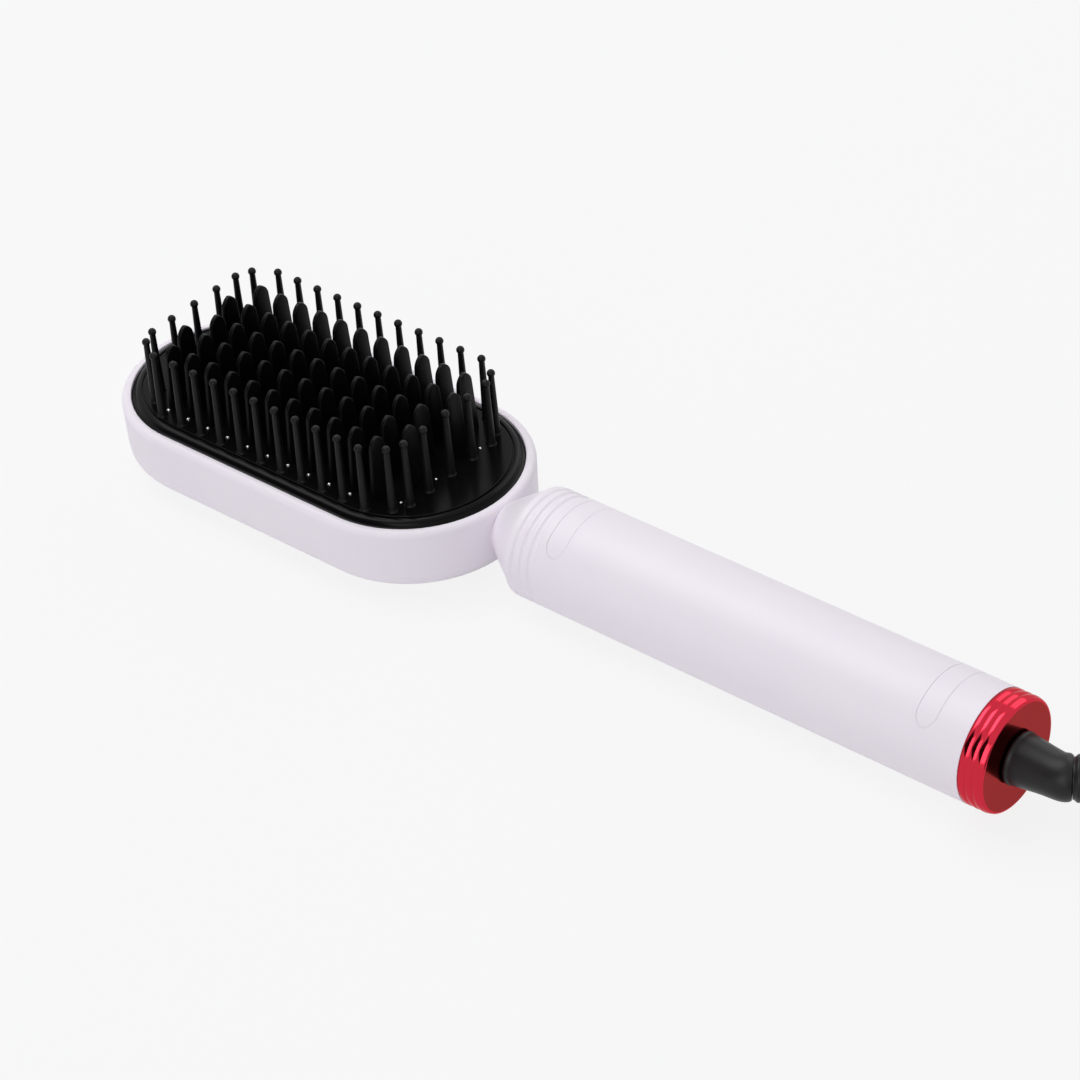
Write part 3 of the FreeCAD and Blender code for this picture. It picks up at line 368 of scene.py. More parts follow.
def along_path(path: Array, radii: Array, segments: int) -> Pair:
    """A round tube of changing radius: point = path + r (cos t up + sin t side), side square to a level path.

    Args:
        path: Points of a level path, shape (n, 3), in millimetres.
        radii: The radius at each point.
        segments: Steps round the path.

    Returns:
        Points in millimetres and quads.
    """
    tangent = np.gradient(path, axis=0)
    tangent /= np.linalg.norm(tangent, axis=1, keepdims=True)
    side = np.cross(tangent, UP)
    turn = np.linspace(0.0, 2 * np.pi, segments, endpoint=False)
    ring = np.cos(turn)[None, :, None] * UP + np.sin(turn)[None, :, None] * side[:, None, :]
    points = path[:, None, :] + radii[:, None, None] * ring
    return points.reshape(-1, 3), grid_quads(len(path), segments)


def add_piece(
    name: str, points: Array, faces: Array, finish: Finish, body: Body, slot: str,
    replaces: tuple[str, ...] = (),
) -> bpy.types.Object:
    """Makes a piece from points in millimetres, welds its poles and seams, and places it in the frame.

    Args:
        name: The piece's name.
        points: Points in millimetres, shape (n, 3).
        faces: Vertex numbers of its faces.
        finish: Its finish.
        body: The body it rides on.
        slot: The record's material slot; not used.
        replaces: The CAD nodes it stands for.

    Returns:
        The Blender object.
    """
    mesh = bpy.data.meshes.new(name)
    mesh.from_pydata((points * MM).tolist(), [], faces.tolist())
    work = bmesh.new()
    work.from_mesh(mesh)
    bmesh.ops.remove_doubles(work, verts=work.verts, dist=WELD)
    bmesh.ops.dissolve_degenerate(work, edges=work.edges, dist=SLIVER)
    bmesh.ops.recalc_face_normals(work, faces=work.faces)
    work.to_mesh(mesh)
    work.free()
    mesh.polygons.foreach_set("use_smooth", np.ones(len(mesh.polygons), dtype=bool))
    mesh.set_sharp_from_angle(angle=math.radians(SHARP_DEG))
    mesh.materials.append(finish.material())
    piece = link(name, mesh)
    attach(piece, body.value)
    if replaces:
        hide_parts(*replaces)
    LOG.info("%s: %d faces on %s", name, len(mesh.polygons), body.value)
    return piece


@dataclass
class Head:
    """The oval head: white shell, black frame, guard pins and heated teeth. Sizes in millimetres.

    Places on the head count from its middle, X towards the handle and Y across.
    """

    middle_x: float
    spine: float = 32.25
    plate_z: float = 24.7
    pitch: float = 7.5
    pin_side_y: float = 24.8
    pin_end_x: float = 46.1
    pin_corner: tuple[float, float] = (44.0, 21.1)
    pins_to_tip: float = 0.3
    row_gap: float = 8.8
    teeth_in_row: int = 11
    teeth_to_tip: float = 0.7
    tooth_half_y: float = 2.65
    tooth_half_x: float = 0.65
    tooth_top: float = 43.7
    tooth_arch: float = 3.9
    tooth_taper: float = 0.07
    tooth_edge: float = 0.3
    # Painted highlights: the studs are bright domes placed where glints of light show just inside the pins.
    glint_stud_r: float = 0.56
    glint_stud_y: float = 22.35
    glint_studs_to_tip: float = 0.4

    def oval(self, section: Array, arc_steps: int = 40, run_steps: int = 16) -> Pair:
        """Carries a half section round the oval: point = middle + spine end + r (cos t, sin t), height z.

        Args:
            section: Rows of (r, z), closed on r = 0 at both ends.
            arc_steps: Steps round each end.
            run_steps: Steps along each straight side.

        Returns:
            Points and quads.
        """
        turn = np.radians(np.linspace(-90.0, 90.0, arc_steps + 1))
        run = np.linspace(self.spine, -self.spine, run_steps + 1)[1:-1]
        end, side = np.full(len(turn), self.spine), np.full(len(run), np.pi / 2)
        shift = np.concatenate([end, run, -end, -run])
        angle = np.concatenate([turn, side, turn + np.pi, -side])
        r, z = section[:, :1], section[:, 1:]
        x = self.middle_x + shift[None, :] + r * np.cos(angle)[None, :]
        y = r * np.sin(angle)[None, :]
        points = np.stack([x, y, np.broadcast_to(z, x.shape)], axis=-1).reshape(-1, 3)
        return points, grid_quads(len(section), len(shift))

    @staticmethod
    def shell_section() -> Array:
        """The shell's half section, made of arcs of circles joined by straight lines.

        Returns:
            Rows of (r, z), from the pad up the outside, over the rim and back along the inside.
        """
        pad = np.array([[0.0, 0.0], [4.5, 0.0]])
        dome = arc((8.9, 49.03), 49.03, -90.0, -65.4, 14)
        corner = arc((26.8, 9.9), 6.0, -64.0, -1.7, 14)
        rim = arc((31.1, 21.45), 2.0, -1.7, 90.0, 12)
        lip = arc((30.7, 23.1), 0.35, 90.0, 180.0, 6)
        ledge = np.array([[30.35, 17.0], [28.6, 17.0]])
        inner_corner = arc((24.8, 9.68), 3.8, 0.0, -65.0, 8)
        inner_dome = arc((8.9, 44.3), 41.9, -66.0, -90.0, 10)
        inner_middle = np.array([[0.0, 2.4]])
        return np.vstack([pad, dome, corner, rim, lip, ledge, inner_corner, inner_dome, inner_middle])

    def frame_section(self) -> Array:
        """The frame's half section, made of arcs of circles joined by straight lines.

        Returns:
            Rows of (r, z), from the plate's middle over the border, down the skirt and back underneath.
        """
        top = self.plate_z
        plate = np.array([[0.0, top], [12.0, top], [26.4, top]])
        plate_edge = arc((26.5, top - 0.2), 0.2, 90.0, 0.0, 5)
        groove = np.array([[26.75, top - 0.5], [27.15, top - 0.5]])
        bead_inside = arc((27.45, top - 0.25), 0.25, 180.0, 95.0, 5)
        bead = arc((27.35, top - 2.4), 2.4, 85.0, 55.0, 8)
        bead_outside = arc((28.53, top - 0.72), 0.35, 45.0, -15.0, 5)
        border = np.array([[29.3, top - 1.5], [29.7, top - 1.75]])
        corner = arc((29.9, top - 2.15), 0.35, 60.0, 0.0, 5)
        skirt = np.array([[30.25, 17.05], [28.4, 17.05], [28.4, 22.3], [0.0, 22.3]])
        parts = [plate, plate_edge, groove, bead_inside, bead, bead_outside, border, corner, skirt]
        return np.vstack(parts)

    def pin_places(self) -> Array:
        """Where the guard pins stand: a row on each side, five across each end, and the four corners.

        Returns:
            One offset per pin, shape (36, 3).
        """
        both = np.array([-1.0, 1.0])
        along = self.pitch * np.arange(-5, 6)
        sides = np.column_stack([np.tile(along, 2), np.repeat(both * self.pin_side_y, len(along))])
        across = np.array([0.0, 8.9, -8.9, 16.6, -16.6])
        ends = np.column_stack([np.repeat(both * self.pin_end_x, len(across)), np.tile(across, 2)])
        corners = np.column_stack([np.repeat(both, 2), np.tile(both, 2)]) * self.pin_corner
        x, y = np.vstack([sides, ends, corners]).T
        return np.column_stack([x + self.middle_x - self.pins_to_tip, y, np.zeros(len(x))])

    def tooth_places(self) -> Array:
        """Where the teeth stand: five rows, every second one longer by a tooth and shifted by half a pitch.

        Returns:
            One offset per tooth, shape (57, 3).
        """
        rows = []
        for row in range(-2, 3):
            count = self.teeth_in_row + row % 2
            along = self.pitch * (np.arange(count) - (count - 1) / 2) + self.middle_x - self.teeth_to_tip
            rows.append(np.column_stack([along, np.full(count, row * self.row_gap), np.zeros(count)]))
        return np.vstack(rows)

    def pin(self) -> Pair:
        """One guard pin turned about Z: a small fillet at its foot, a taper, and a ball at the top.

        Returns:
            Points and quads.
        """
        base = self.plate_z
        foot = [[base - 0.6, 0.0], [base - 0.6, 1.55], [base - 0.02, 1.55], [base + 0.2, 1.36]]
        taper = [[base + 0.8, 1.25], [base + 9.0, 1.05], [43.5, 0.82]]
        ball = arc((44.3, 0.0), 1.15, 134.0, 0.0, 11)
        return about_axis(np.vstack([foot, taper, ball]), 20, np.zeros(3), UP)

    def tooth(self) -> Pair:
        """One blade: an outline of two tapering sides and a pointed arch, swept across the blade's thickness.

        The arch is part of a circle that carries on from the sloping side and ends on the blade's middle line.
        An outline point is p with inward normal n; a row at depth x with inset d is (x, p + d n). The rim is a
        quarter circle at each edge, and the outermost rows close the two faces on the blade's middle line.

        Returns:
            Points and quads.
        """
        bend, edge = self.tooth_arch, self.tooth_edge
        start = math.atan(self.tooth_taper)
        middle = self.tooth_half_y - bend * math.cos(start)
        end = math.acos(-middle / bend)
        turn = np.linspace(start, end, 9)
        arch_z = self.tooth_top + bend * (np.sin(turn) - math.sin(end))
        low_z = np.array([22.35, 24.75, 30.0, 36.0])
        low_y = self.tooth_half_y + self.tooth_taper * (arch_z[0] - low_z)
        side_y = np.concatenate([low_y, middle + bend * np.cos(turn)])
        side_z = np.concatenate([low_z, arch_z])
        slope = np.concatenate([np.full(len(low_z), start), turn])
        inward_y, inward_z = -np.cos(slope), -np.sin(slope)
        inward_y[-1], inward_z[-1] = 0.0, -1.0 / math.sin(end)
        y, z = np.concatenate([side_y, -side_y[-2::-1]]), np.concatenate([side_z, side_z[-2::-1]])
        normal_y = np.concatenate([inward_y, -inward_y[-2::-1]])
        normal_z = np.concatenate([inward_z, inward_z[-2::-1]])
        rim = arc((0.0, 0.0), edge, 180.0, 90.0, 4)
        depth = np.concatenate([[-self.tooth_half_x], rim[:, 0] - self.tooth_half_x + edge])
        inset = np.concatenate([[edge], edge - rim[:, 1]])
        depth, inset = np.concatenate([depth, -depth[::-1]]), np.concatenate([inset, inset[::-1]])
        rows_y = y[None, :] + inset[:, None] * normal_y[None, :]
        rows_z = z[None, :] + inset[:, None] * normal_z[None, :]
        rows_y[[0, -1]] = 0.0
        points = np.stack([np.broadcast_to(depth[:, None], rows_y.shape), rows_y, rows_z], axis=-1)
        return points.reshape(-1, 3), grid_quads(len(depth), len(y))

    def glint_studs(self) -> Pair:
        """Painted highlights: small bright nickel studs just inside the guard pins, set where glints of light
        show at the pins' feet; low domes turned about Z.

        Returns:
            Points and quads of all glint studs.
        """
        base, r = self.plate_z, self.glint_stud_r
        dome = np.vstack([[[base - 0.3, 0.0], [base - 0.3, r]], arc((base - 0.02, 0.0), r, 88.0, 0.0, 6)])
        along = np.tile(self.pitch * np.arange(-5, 5) - self.glint_studs_to_tip, 2)
        across = np.repeat([-self.glint_stud_y, self.glint_stud_y], len(along) // 2)
        sides = np.column_stack([along, across, np.zeros(len(along))])
        end = np.array([[43.2, -17.3, -0.28], [44.0, -4.1, -0.32], [44.6, 13.3, -0.28]])
        places = np.vstack([sides, end]) + self.middle_x * TO_CORD
        return repeat_at(*about_axis(dome, 14, np.zeros(3), UP), places)

    def build(self) -> None:
        """Makes the head's pieces."""
        shell, frame = self.oval(self.shell_section()), self.oval(self.frame_section())
        pins = repeat_at(*self.pin(), self.pin_places())
        teeth = repeat_at(*self.tooth(), self.tooth_places())
        add_piece("shell", *shell, WHITE, Body.BRUSH, "white_plastic", ("head_shell",))
        add_piece("pin_frame", *frame, GLOSS_BLACK, Body.BRUSH, "black_gloss", ("bristle_frame",))
        add_piece("pins", *pins, PIN_BLACK, Body.BRUSH, "black_satin", ("guard_pins",))
        add_piece("teeth", *teeth, TOOTH_BLACK, Body.BRUSH, "black_gloss", ("comb_teeth",))
        # Painted highlights: bright nickel studs where glints of light show beside the guard pins.
        add_piece("plate_glint_studs", *self.glint_studs(), NICKEL, Body.BRUSH, "steel")


@dataclass
class Handle:
    """The neck, the screw covers and the red end cap about the handle's axis. Sizes in millimetres."""

    start_x: float
    cap_x: float
    end_x: float
    axis_z: float
    radius: float = 15.5
    bore: float = 12.85
    neck_in: float = 16.0
    cap_edge: float = 0.8
    ripples: int = 3
    ripple: float = 0.26
    face_thick: float = 0.3
    boot_hole: float = 5.45
    cover_half_y: float = 12.86
    cover_half_x: float = 3.01
    cover_edge: float = 0.36
    cover_proud: float = 0.05
    cover_depth: float = 1.15

    def turned(self, profile: Array, segments: int) -> Pair:
        """Turns a closed profile about the handle's axis; its last row joins its first.

        Args:
            profile: Rows of (x, r) once round the section.
            segments: Steps round the axis.

        Returns:
            Points and quads.
        """
        points, _ = about_axis(profile, segments, self.axis_z * UP, TO_CORD)
        return points, grid_quads(len(profile), segments, close_rows=True)

    def neck_profile(self) -> Array:
        """The cone from inside the head's wall to the handle, with a small step at the handle.

        Returns:
            Rows of (x, r): the flaring outside, the plug in the handle's bore and the wire way.
        """
        x, start = self.start_x, self.start_x - self.neck_in
        flare = [
            [start, 5.2], [x - 13.5, 5.7], [x - 11.2, 7.1], [x - 8.7, 9.0], [x - 6.2, 10.8], [x - 3.7, 12.5],
            [x - 1.2, 14.1], [x - 0.5, 14.5], [x - 0.15, 14.55], [x, 14.3],
        ]
        return np.array(flare + [[x + 9.5, self.bore], [x + 9.5, 5.0], [start, 5.0]])

    def cap_profile(self) -> Array:
        """The cap: round ripples, each a rounded half sine wave, an edge and a seat for the end's face.

        Returns:
            Rows of (x, r): the outside to the end, and the inside back to the handle.
        """
        edge, valley, end, hole = self.cap_edge, self.radius - self.ripple, self.end_x, self.boot_hole
        width = (end - self.cap_x - edge) / self.ripples
        step = np.linspace(0.0, 1.0, 13)
        wave = valley + self.ripple * np.sin(np.pi * step) ** 0.9
        outside = [np.column_stack([self.cap_x + width * (i + step), wave]) for i in range(self.ripples)]
        corner = arc((end - edge, valley - edge), edge, 90.0, 0.0, 8)
        seat, wall, root, joint = end - self.face_thick, end - 3.05, self.cap_x - 7.0, self.cap_x - 0.05
        inside = np.array([
            [seat, valley - edge], [seat, hole], [wall, hole], [wall, 11.4], [root, 11.4], [root, self.bore],
            [joint, self.bore], [joint, valley],
        ])
        return np.vstack(outside + [corner, inside])

    def face_profile(self) -> Array:
        """The cap's flat end face: a thin washer with the boot's hole, its inner edge broken.

        Returns:
            Rows of (x, r) once round the washer.
        """
        end, hole = self.end_x, self.boot_hole
        outer, back = self.radius - self.ripple - self.cap_edge, end - self.face_thick
        return np.array([[back, hole], [back, outer], [end, outer], [end, hole + 0.15], [end - 0.2, hole]])

    def cover(self, x: float) -> Pair:
        """A curved strip: an obround outline shrunk ring by ring and set on the handle's cylinder.

        A ring at inset d lies at z = axis + sqrt(R(d)^2 - y^2), where R(d) drops on a quarter circle close to
        the edge. The first two rings are the underside, and the first and last lie on the strip's middle line.

        Args:
            x: The strip's middle.

        Returns:
            Points and quads.
        """
        half_x, edge = self.cover_half_x, self.cover_edge
        inset = np.array([half_x, 0.0, 0.0, 0.03, 0.09, 0.18, 0.27, edge, 0.7, 1.2, 1.8, 2.4, half_x])
        drop = edge - np.sqrt(np.clip(edge ** 2 - np.clip(edge - inset, 0.0, None) ** 2, 0.0, None))
        drop[:2] = self.cover_depth
        straight = self.cover_half_y - half_x
        turn = np.radians(np.linspace(0.0, 180.0, 17))
        run = np.linspace(straight, -straight, 14)[1:-1]
        end, side = np.full(len(turn), straight), np.full(len(run), np.pi)
        angle = np.concatenate([turn, side, turn + np.pi, 2 * side])
        centre = np.concatenate([end, run, -end, -run])
        reach = (half_x - inset)[:, None]
        across = centre[None, :] + reach * np.sin(angle)[None, :]
        level = self.radius + self.cover_proud - drop
        height = self.axis_z + np.sqrt(level[:, None] ** 2 - across ** 2)
        points = np.stack([x + reach * np.cos(angle)[None, :], across, height], axis=-1)
        return points.reshape(-1, 3), grid_quads(len(inset), len(angle))

    def build(self) -> None:
        """Makes the neck, the cap with its face, and the covers."""
        neck, cap = self.turned(self.neck_profile(), 128), self.turned(self.cap_profile(), 160)
        add_piece("neck", *neck, WHITE, Body.BRUSH, "white_plastic", ("neck_collar",))
        add_piece("cap", *cap, RED, Body.BRUSH, "red_metal", ("end_cap",))
        # The end face takes the darker red of painted shade, the same metal as the cap.
        add_piece("cap_face", *self.turned(self.face_profile(), 160), RED_FACE_SHADED, Body.BRUSH, "red_metal")
        for name in ("front_screw_cover", "rear_screw_cover"):
            low, high = box_mm(name)
            strip = self.cover((low[0] + high[0]) / 2)
            add_piece(name + "_strip", *strip, WHITE, Body.BRUSH, "white_plastic", (name,))


@dataclass
class CordSet:
    """The boot, strain relief, cord, tie and plug, which turn together. Sizes in millimetres."""

    end_x: float
    axis_z: float
    turn: float = 32.0
    bend: float = 8.0
    boot_run: float = 10.9
    relief_run: float = 26.0
    relief_r: float = 5.85
    relief_taper: float = 1.65
    ribs: int = 6
    cord_r: float = 3.0
    cord_length_m: float = 1.8
    coil_x: float = 254.01
    coil_y: float = 32.04
    coil_r: float = 49.24
    step: float = 3.25
    layers: Triple = (3.9, 10.4, 16.9)
    inner_r: float = 34.0

    @property
    def heading(self) -> Array:
        """The level direction in which the cord leaves the boot."""
        angle = math.radians(self.turn)
        return np.array([math.cos(angle), math.sin(angle), 0.0])

    def boot_arc(self, angle: Array) -> Array:
        """The boot's bend: an arc that starts along X and turns aside.

        Args:
            angle: How far it has turned, in radians, shape (n,).

        Returns:
            Points of the bend's middle line, shape (n, 3).
        """
        x = self.end_x + self.boot_run + self.bend * np.sin(angle)
        return np.column_stack([x, self.bend * (1 - np.cos(angle)), np.full(len(angle), self.axis_z)])

    def boot(self) -> Pair:
        """The boot: a tube along X with a lip at the cap, which tapers and turns aside on an arc.

        Returns:
            Points and quads.
        """
        x = np.array([
            -11.0, -10.9, 0.2, 0.3, 0.36, 0.55, 0.9, 1.25, 1.5, 1.8, 2.4, 4.0, 6.0, 8.0, 10.0, self.boot_run,
        ])
        straight_r = [
            0.0, 3.98, 3.98, 6.5, 6.85, 7.1, 7.18, 7.1, 6.92, 6.86, 6.83, 6.62, 6.38, 6.14, 5.95, 5.9,
        ]
        bend_r = [5.88, 5.9, 5.95, 6.0, 6.02, 5.98, 5.85, 5.5]
        straight = np.column_stack([self.end_x + x, np.zeros(len(x)), np.full(len(x), self.axis_z)])
        curve = self.boot_arc(np.radians(np.linspace(0.0, self.turn, len(bend_r) + 1))[1:])
        path = np.vstack([straight, curve, curve[-1:] + 0.001 * self.heading])
        return along_path(path, np.array(straight_r + bend_r + [0.0]), 48)

    def relief(self) -> Pair:
        """The strain relief turned about the cord's heading: a taper plus a clipped cosine wave for its ribs.

        Returns:
            Points and quads.
        """
        gap, run = 0.05, self.relief_run
        along = np.linspace(0.0, run, 121)
        taper = self.relief_r - self.relief_taper * along / run
        wave = np.clip(np.cos(2 * np.pi * (along - 2.0) / (run / self.ribs)) * 1.6 + 0.4, -1.0, 1.0)
        ribbed = np.column_stack([along + gap, taper - 0.25 + 0.4 * wave])
        profile = np.vstack([[[gap, 0.0]], ribbed, [[run + gap, 0.0]]])
        start = self.boot_arc(np.radians([self.turn]))[0]
        return about_axis(profile, 40, start, self.heading)

    def lead_points(self) -> Array:
        """Returns the route's points from the strain relief down to the coil."""
        low = self.layers[0]
        return np.array([
            [183.54, 14.99, 15.5], [195.41, 22.41, 15.5], [214.2, 29.0, 9.7], [234.01, 31.3, low],
            [248.01, 30.7, low],
        ])

    def coil_points(self) -> Array:
        """The coil's control points, twelve to a turn.

        With h counted in half turns, the radius falls by one step per half turn to h = 7, keeps for the half
        turn that climbs, and grows again to h = 14; then a quarter turn leads inwards to the plug. The points
        stand off the circles by the factor reach, which brings the spline between them onto the circles.

        Returns:
            Points in millimetres, shape (n, 3).
        """
        outer, step, inner = self.coil_r, self.step, self.inner_r
        low, second, third = self.layers
        first = self.coil_y - outer
        reach = 1 / (0.75 + 0.25 * math.cos(math.pi / 6))
        h = np.arange(6 * 14 + 1) / 6.0
        into, climb = h <= 7.0, (h > 7.0) & (h < 8.0)
        radius = np.where(into, outer + step * (0.5 - h), outer + step * (h - 14.5))
        radius = np.where(climb, outer - 7 * step, radius)
        centre = np.where(into, first - step / 2, first - 1.5 * step)
        centre = np.where(climb, first - step, centre)
        height = np.interp(h, [7.0, 8.0, 13.0, 14.0], [low, second, second, third])
        angle = np.pi * (0.5 - h)
        x = self.coil_x + radius * reach * np.cos(angle)
        turns = np.column_stack([x, centre + radius * reach * np.sin(angle), height])
        peak = first - 1.5 * step + outer - 0.5 * step
        last = np.radians([60.0, 30.0])
        x = self.coil_x + inner * reach * np.cos(last)
        quarter = np.column_stack([x, peak - inner + inner * reach * np.sin(last), [18.0, 19.6]])
        end_x, end_z = self.coil_x + inner, 20.3
        end = np.array([[end_x, peak - inner - 2.0, end_z], [end_x, peak - inner - 7.0, end_z]])
        return np.vstack([turns, quarter, end])

    def cord(self) -> bpy.types.Object:
        """Makes the cord as one smooth spline from the strain relief to the plug.

        Returns:
            The curve object.
        """
        points = np.vstack([self.lead_points(), self.coil_points()]) * MM
        curve = bpy.data.curves.new("cord", "CURVE")
        curve.dimensions = "3D"
        curve.bevel_depth = self.cord_r * MM
        curve.bevel_resolution = 5
        curve.resolution_u = 6
        curve.use_fill_caps = True
        spline = curve.splines.new("NURBS")
        spline.points.add(len(points) - 1)
        spline.points.foreach_set("co", np.column_stack([points, np.ones(len(points))]).ravel())
        spline.order_u = 3
        spline.use_endpoint_u = True
        curve.materials.append(CORD_BLACK.material())
        piece = link("cord", curve)
        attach(piece, Body.SWIVEL.value)
        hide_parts("cord_lead", "cord_coil")
        LOG.info("cord: %d points on %s", len(points), Body.SWIVEL.value)
        return piece

    @staticmethod
    def plug() -> Pair:
        """The plug's body along -Y: rounded oblong sections, narrow at the cord and full towards the pins.

        A section at depth d is the oblong times (a, b), with the half width a(d) and the half height b(d).

        Returns:
            Points and quads.
        """
        low, high = box_mm("plug_body")
        middle = (low + high) / 2
        depth, half_x, half_z = np.array([
            [-5.0, 0.0, 0.0], [-5.0, 3.7, 3.7], [-4.6, 4.0, 4.0], [-1.0, 4.3, 4.2], [2.0, 5.5, 4.9],
            [5.0, 8.2, 5.8], [9.0, 10.6, 6.4], [14.0, 11.9, 6.7], [22.0, 12.4, 6.85], [29.0, 12.5, 6.85],
            [31.2, 12.4, 6.75], [31.8, 12.0, 6.4], [32.0, 11.2, 5.6], [32.0, 0.0, 0.0],
        ]).T[:, :, None]
        unit_x, unit_z = oblong(48, 0.62)
        x, z = middle[0] + half_x * unit_x, middle[2] + half_z * unit_z
        points = np.stack([x, np.broadcast_to(high[1] - depth, x.shape), z], axis=-1)
        return points.reshape(-1, 3), grid_quads(*x.shape)

    @staticmethod
    def plug_pins() -> Pair:
        """Two round pins turned about -Y, with sleeves at the root and domed ends.

        Returns:
            Points and quads.
        """
        low, high = box_mm("plug_pins")
        sleeve_r, pin_r = 2.0, 1.88
        profile = np.vstack([
            [[-1.0, 0.0], [-1.0, sleeve_r], [9.8, sleeve_r], [9.9, pin_r], [17.6, pin_r]],
            arc((17.3, 0.0), 1.7, 80.0, 0.0, 7),
        ])
        root = np.array([0.0, high[1], (low[2] + high[2]) / 2])
        pin = about_axis(profile, 28, root, np.array([0.0, -1.0, 0.0]))
        return repeat_at(*pin, np.outer([low[0] + sleeve_r, high[0] - sleeve_r], TO_CORD))

    @staticmethod
    def tie() -> Pair:
        """The tie: a flat band's section carried round a rounded oblong about the coil's loops.

        A row of the section is (share of the width, height in the band); the oblong grows by the height.

        Returns:
            Points and quads.
        """
        low, high = box_mm("cord_tie")
        middle, half = (low + high) / 2, (high - low) / 2
        band = np.array([
            [-0.5, 0.1], [-0.5, 0.5], [-0.46, 0.58], [0.46, 0.58], [0.5, 0.5], [0.5, 0.1], [0.4, 0.0],
            [-0.4, 0.0],
        ])
        unit_y, unit_z = oblong(96, 0.28)
        grow = band[:, 1:] - 0.6
        y, z = middle[1] + (half[1] + grow) * unit_y, middle[2] + (half[2] + grow) * unit_z
        x = np.broadcast_to(middle[0] + band[:, :1] * (high[0] - low[0]), y.shape)
        return np.stack([x, y, z], axis=-1).reshape(-1, 3), grid_quads(*y.shape, close_rows=True)

    def build(self) -> None:
        add_piece("boot", *self.boot(), BOOT_BLACK, Body.SWIVEL, "boot_rubber", ("swivel_boot",))
        add_piece("relief", *self.relief(), BOOT_BLACK, Body.SWIVEL, "boot_rubber", ("strain_relief",))
        plug = add_piece("plug", *self.plug(), CORD_BLACK, Body.SWIVEL, "cord_rubber", ("plug_body",))
        pins = add_piece("contacts", *self.plug_pins(), NICKEL, Body.SWIVEL, "pin_metal", ("plug_pins",))
        tie = add_piece("tie", *self.tie(), CORD_BLACK, Body.SWIVEL, "cord_rubber", ("cord_tie",))
        cord = self.cord()


@dataclass
class Controls:
    """Raised symbols on the three buttons of the handle's back. Sizes in millimetres."""

    axis_z: float
    face_r: float = 15.2
    bar: float = 3.6
    line: float = 0.55
    raised: float = 0.12
    sunk: float = 0.4
    ring_r: float = 1.75
    wire_r: float = 0.28

    def bars(self, x: float, spans: list[list[float]]) -> Pair:
        """Flat bars on the button's curved face: x and y within each span, z = axis - sqrt(R^2 - y^2).

        Args:
            x: The button's place.
            spans: Rows of (low x, high x, low y, high y) from the button's middle.

        Returns:
            Points and quads of closed thin bars.
        """
        side, sheets, faces = 5, [], []
        numbers = np.arange(side ** 2).reshape(side, side)
        edge = np.concatenate([numbers[0], numbers[1:, -1], numbers[-1, -2::-1], numbers[-2:0:-1, 0]])
        following, flat = np.roll(edge, -1), grid_quads(side, side, False)
        wall = np.stack([edge, following, following + side ** 2, edge + side ** 2], axis=-1)
        closed = np.vstack([flat, flat + side ** 2, wall])
        for number, (x0, x1, y0, y1) in enumerate(spans):
            u, v = np.meshgrid(np.linspace(x0, x1, side), np.linspace(y0, y1, side), indexing="ij")
            for r in (self.face_r + self.raised, self.face_r - self.sunk):
                sheet = np.stack([x + u, v, self.axis_z - np.sqrt(r ** 2 - v ** 2)], axis=-1)
                sheets.append(sheet.reshape(-1, 3))
            faces.append(closed + 2 * side ** 2 * number)
        return np.vstack(sheets), np.vstack(faces)

    def ring(self, x: float) -> Pair:
        """An open ring on the button's face: a round wire along 300 degrees of a circle, its ends closed.

        Args:
            x: The button's place.

        Returns:
            Points and quads.
        """
        along, across = arc((x, 0.0), self.ring_r, 210.0, 510.0, 41).T
        height = self.axis_z - np.sqrt(self.face_r ** 2 - across ** 2)
        radii = np.full(len(along), self.wire_r)
        radii[[0, -1]] = 0.0
        return along_path(np.column_stack([along, across, height]), radii, 10)

    def build(self) -> None:
        """Makes the symbols: a bar, a ring with a bar, and a cross."""
        half, line = self.bar / 2, self.line / 2
        level, upright = [-line, line, -half, half], [-half, half, -line, line]
        short = [-2.3, -0.9, -line, line]
        for body, spans in ((Body.MINUS, [level]), (Body.POWER, [short]), (Body.PLUS, [level, upright])):
            low, high = box_mm(body.value)
            x = (low[0] + high[0]) / 2
            add_piece(body.value + "_mark", *self.bars(x, spans), MARK_GREY, body, "black_satin")
            if body is Body.POWER:
                add_piece("power_button_ring", *self.ring(x), MARK_GREY, body, "black_satin")


def dress_nodes(frame: dict) -> None:
    """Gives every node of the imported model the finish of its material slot.

    Args:
        frame: The loaded frame.
    """
    slots = {part["node"]: part["material_slot"] for part in frame["record"]["subparts"]}
    for name, node in frame["nodes"].items():
        material = SLOT_FINISH[slots[name]].material()
        if not node.material_slots:
            node.data.materials.append(material)
        for slot in node.material_slots:
            slot.material = material
        LOG.info("%s: dressed in %s", name, material.name)


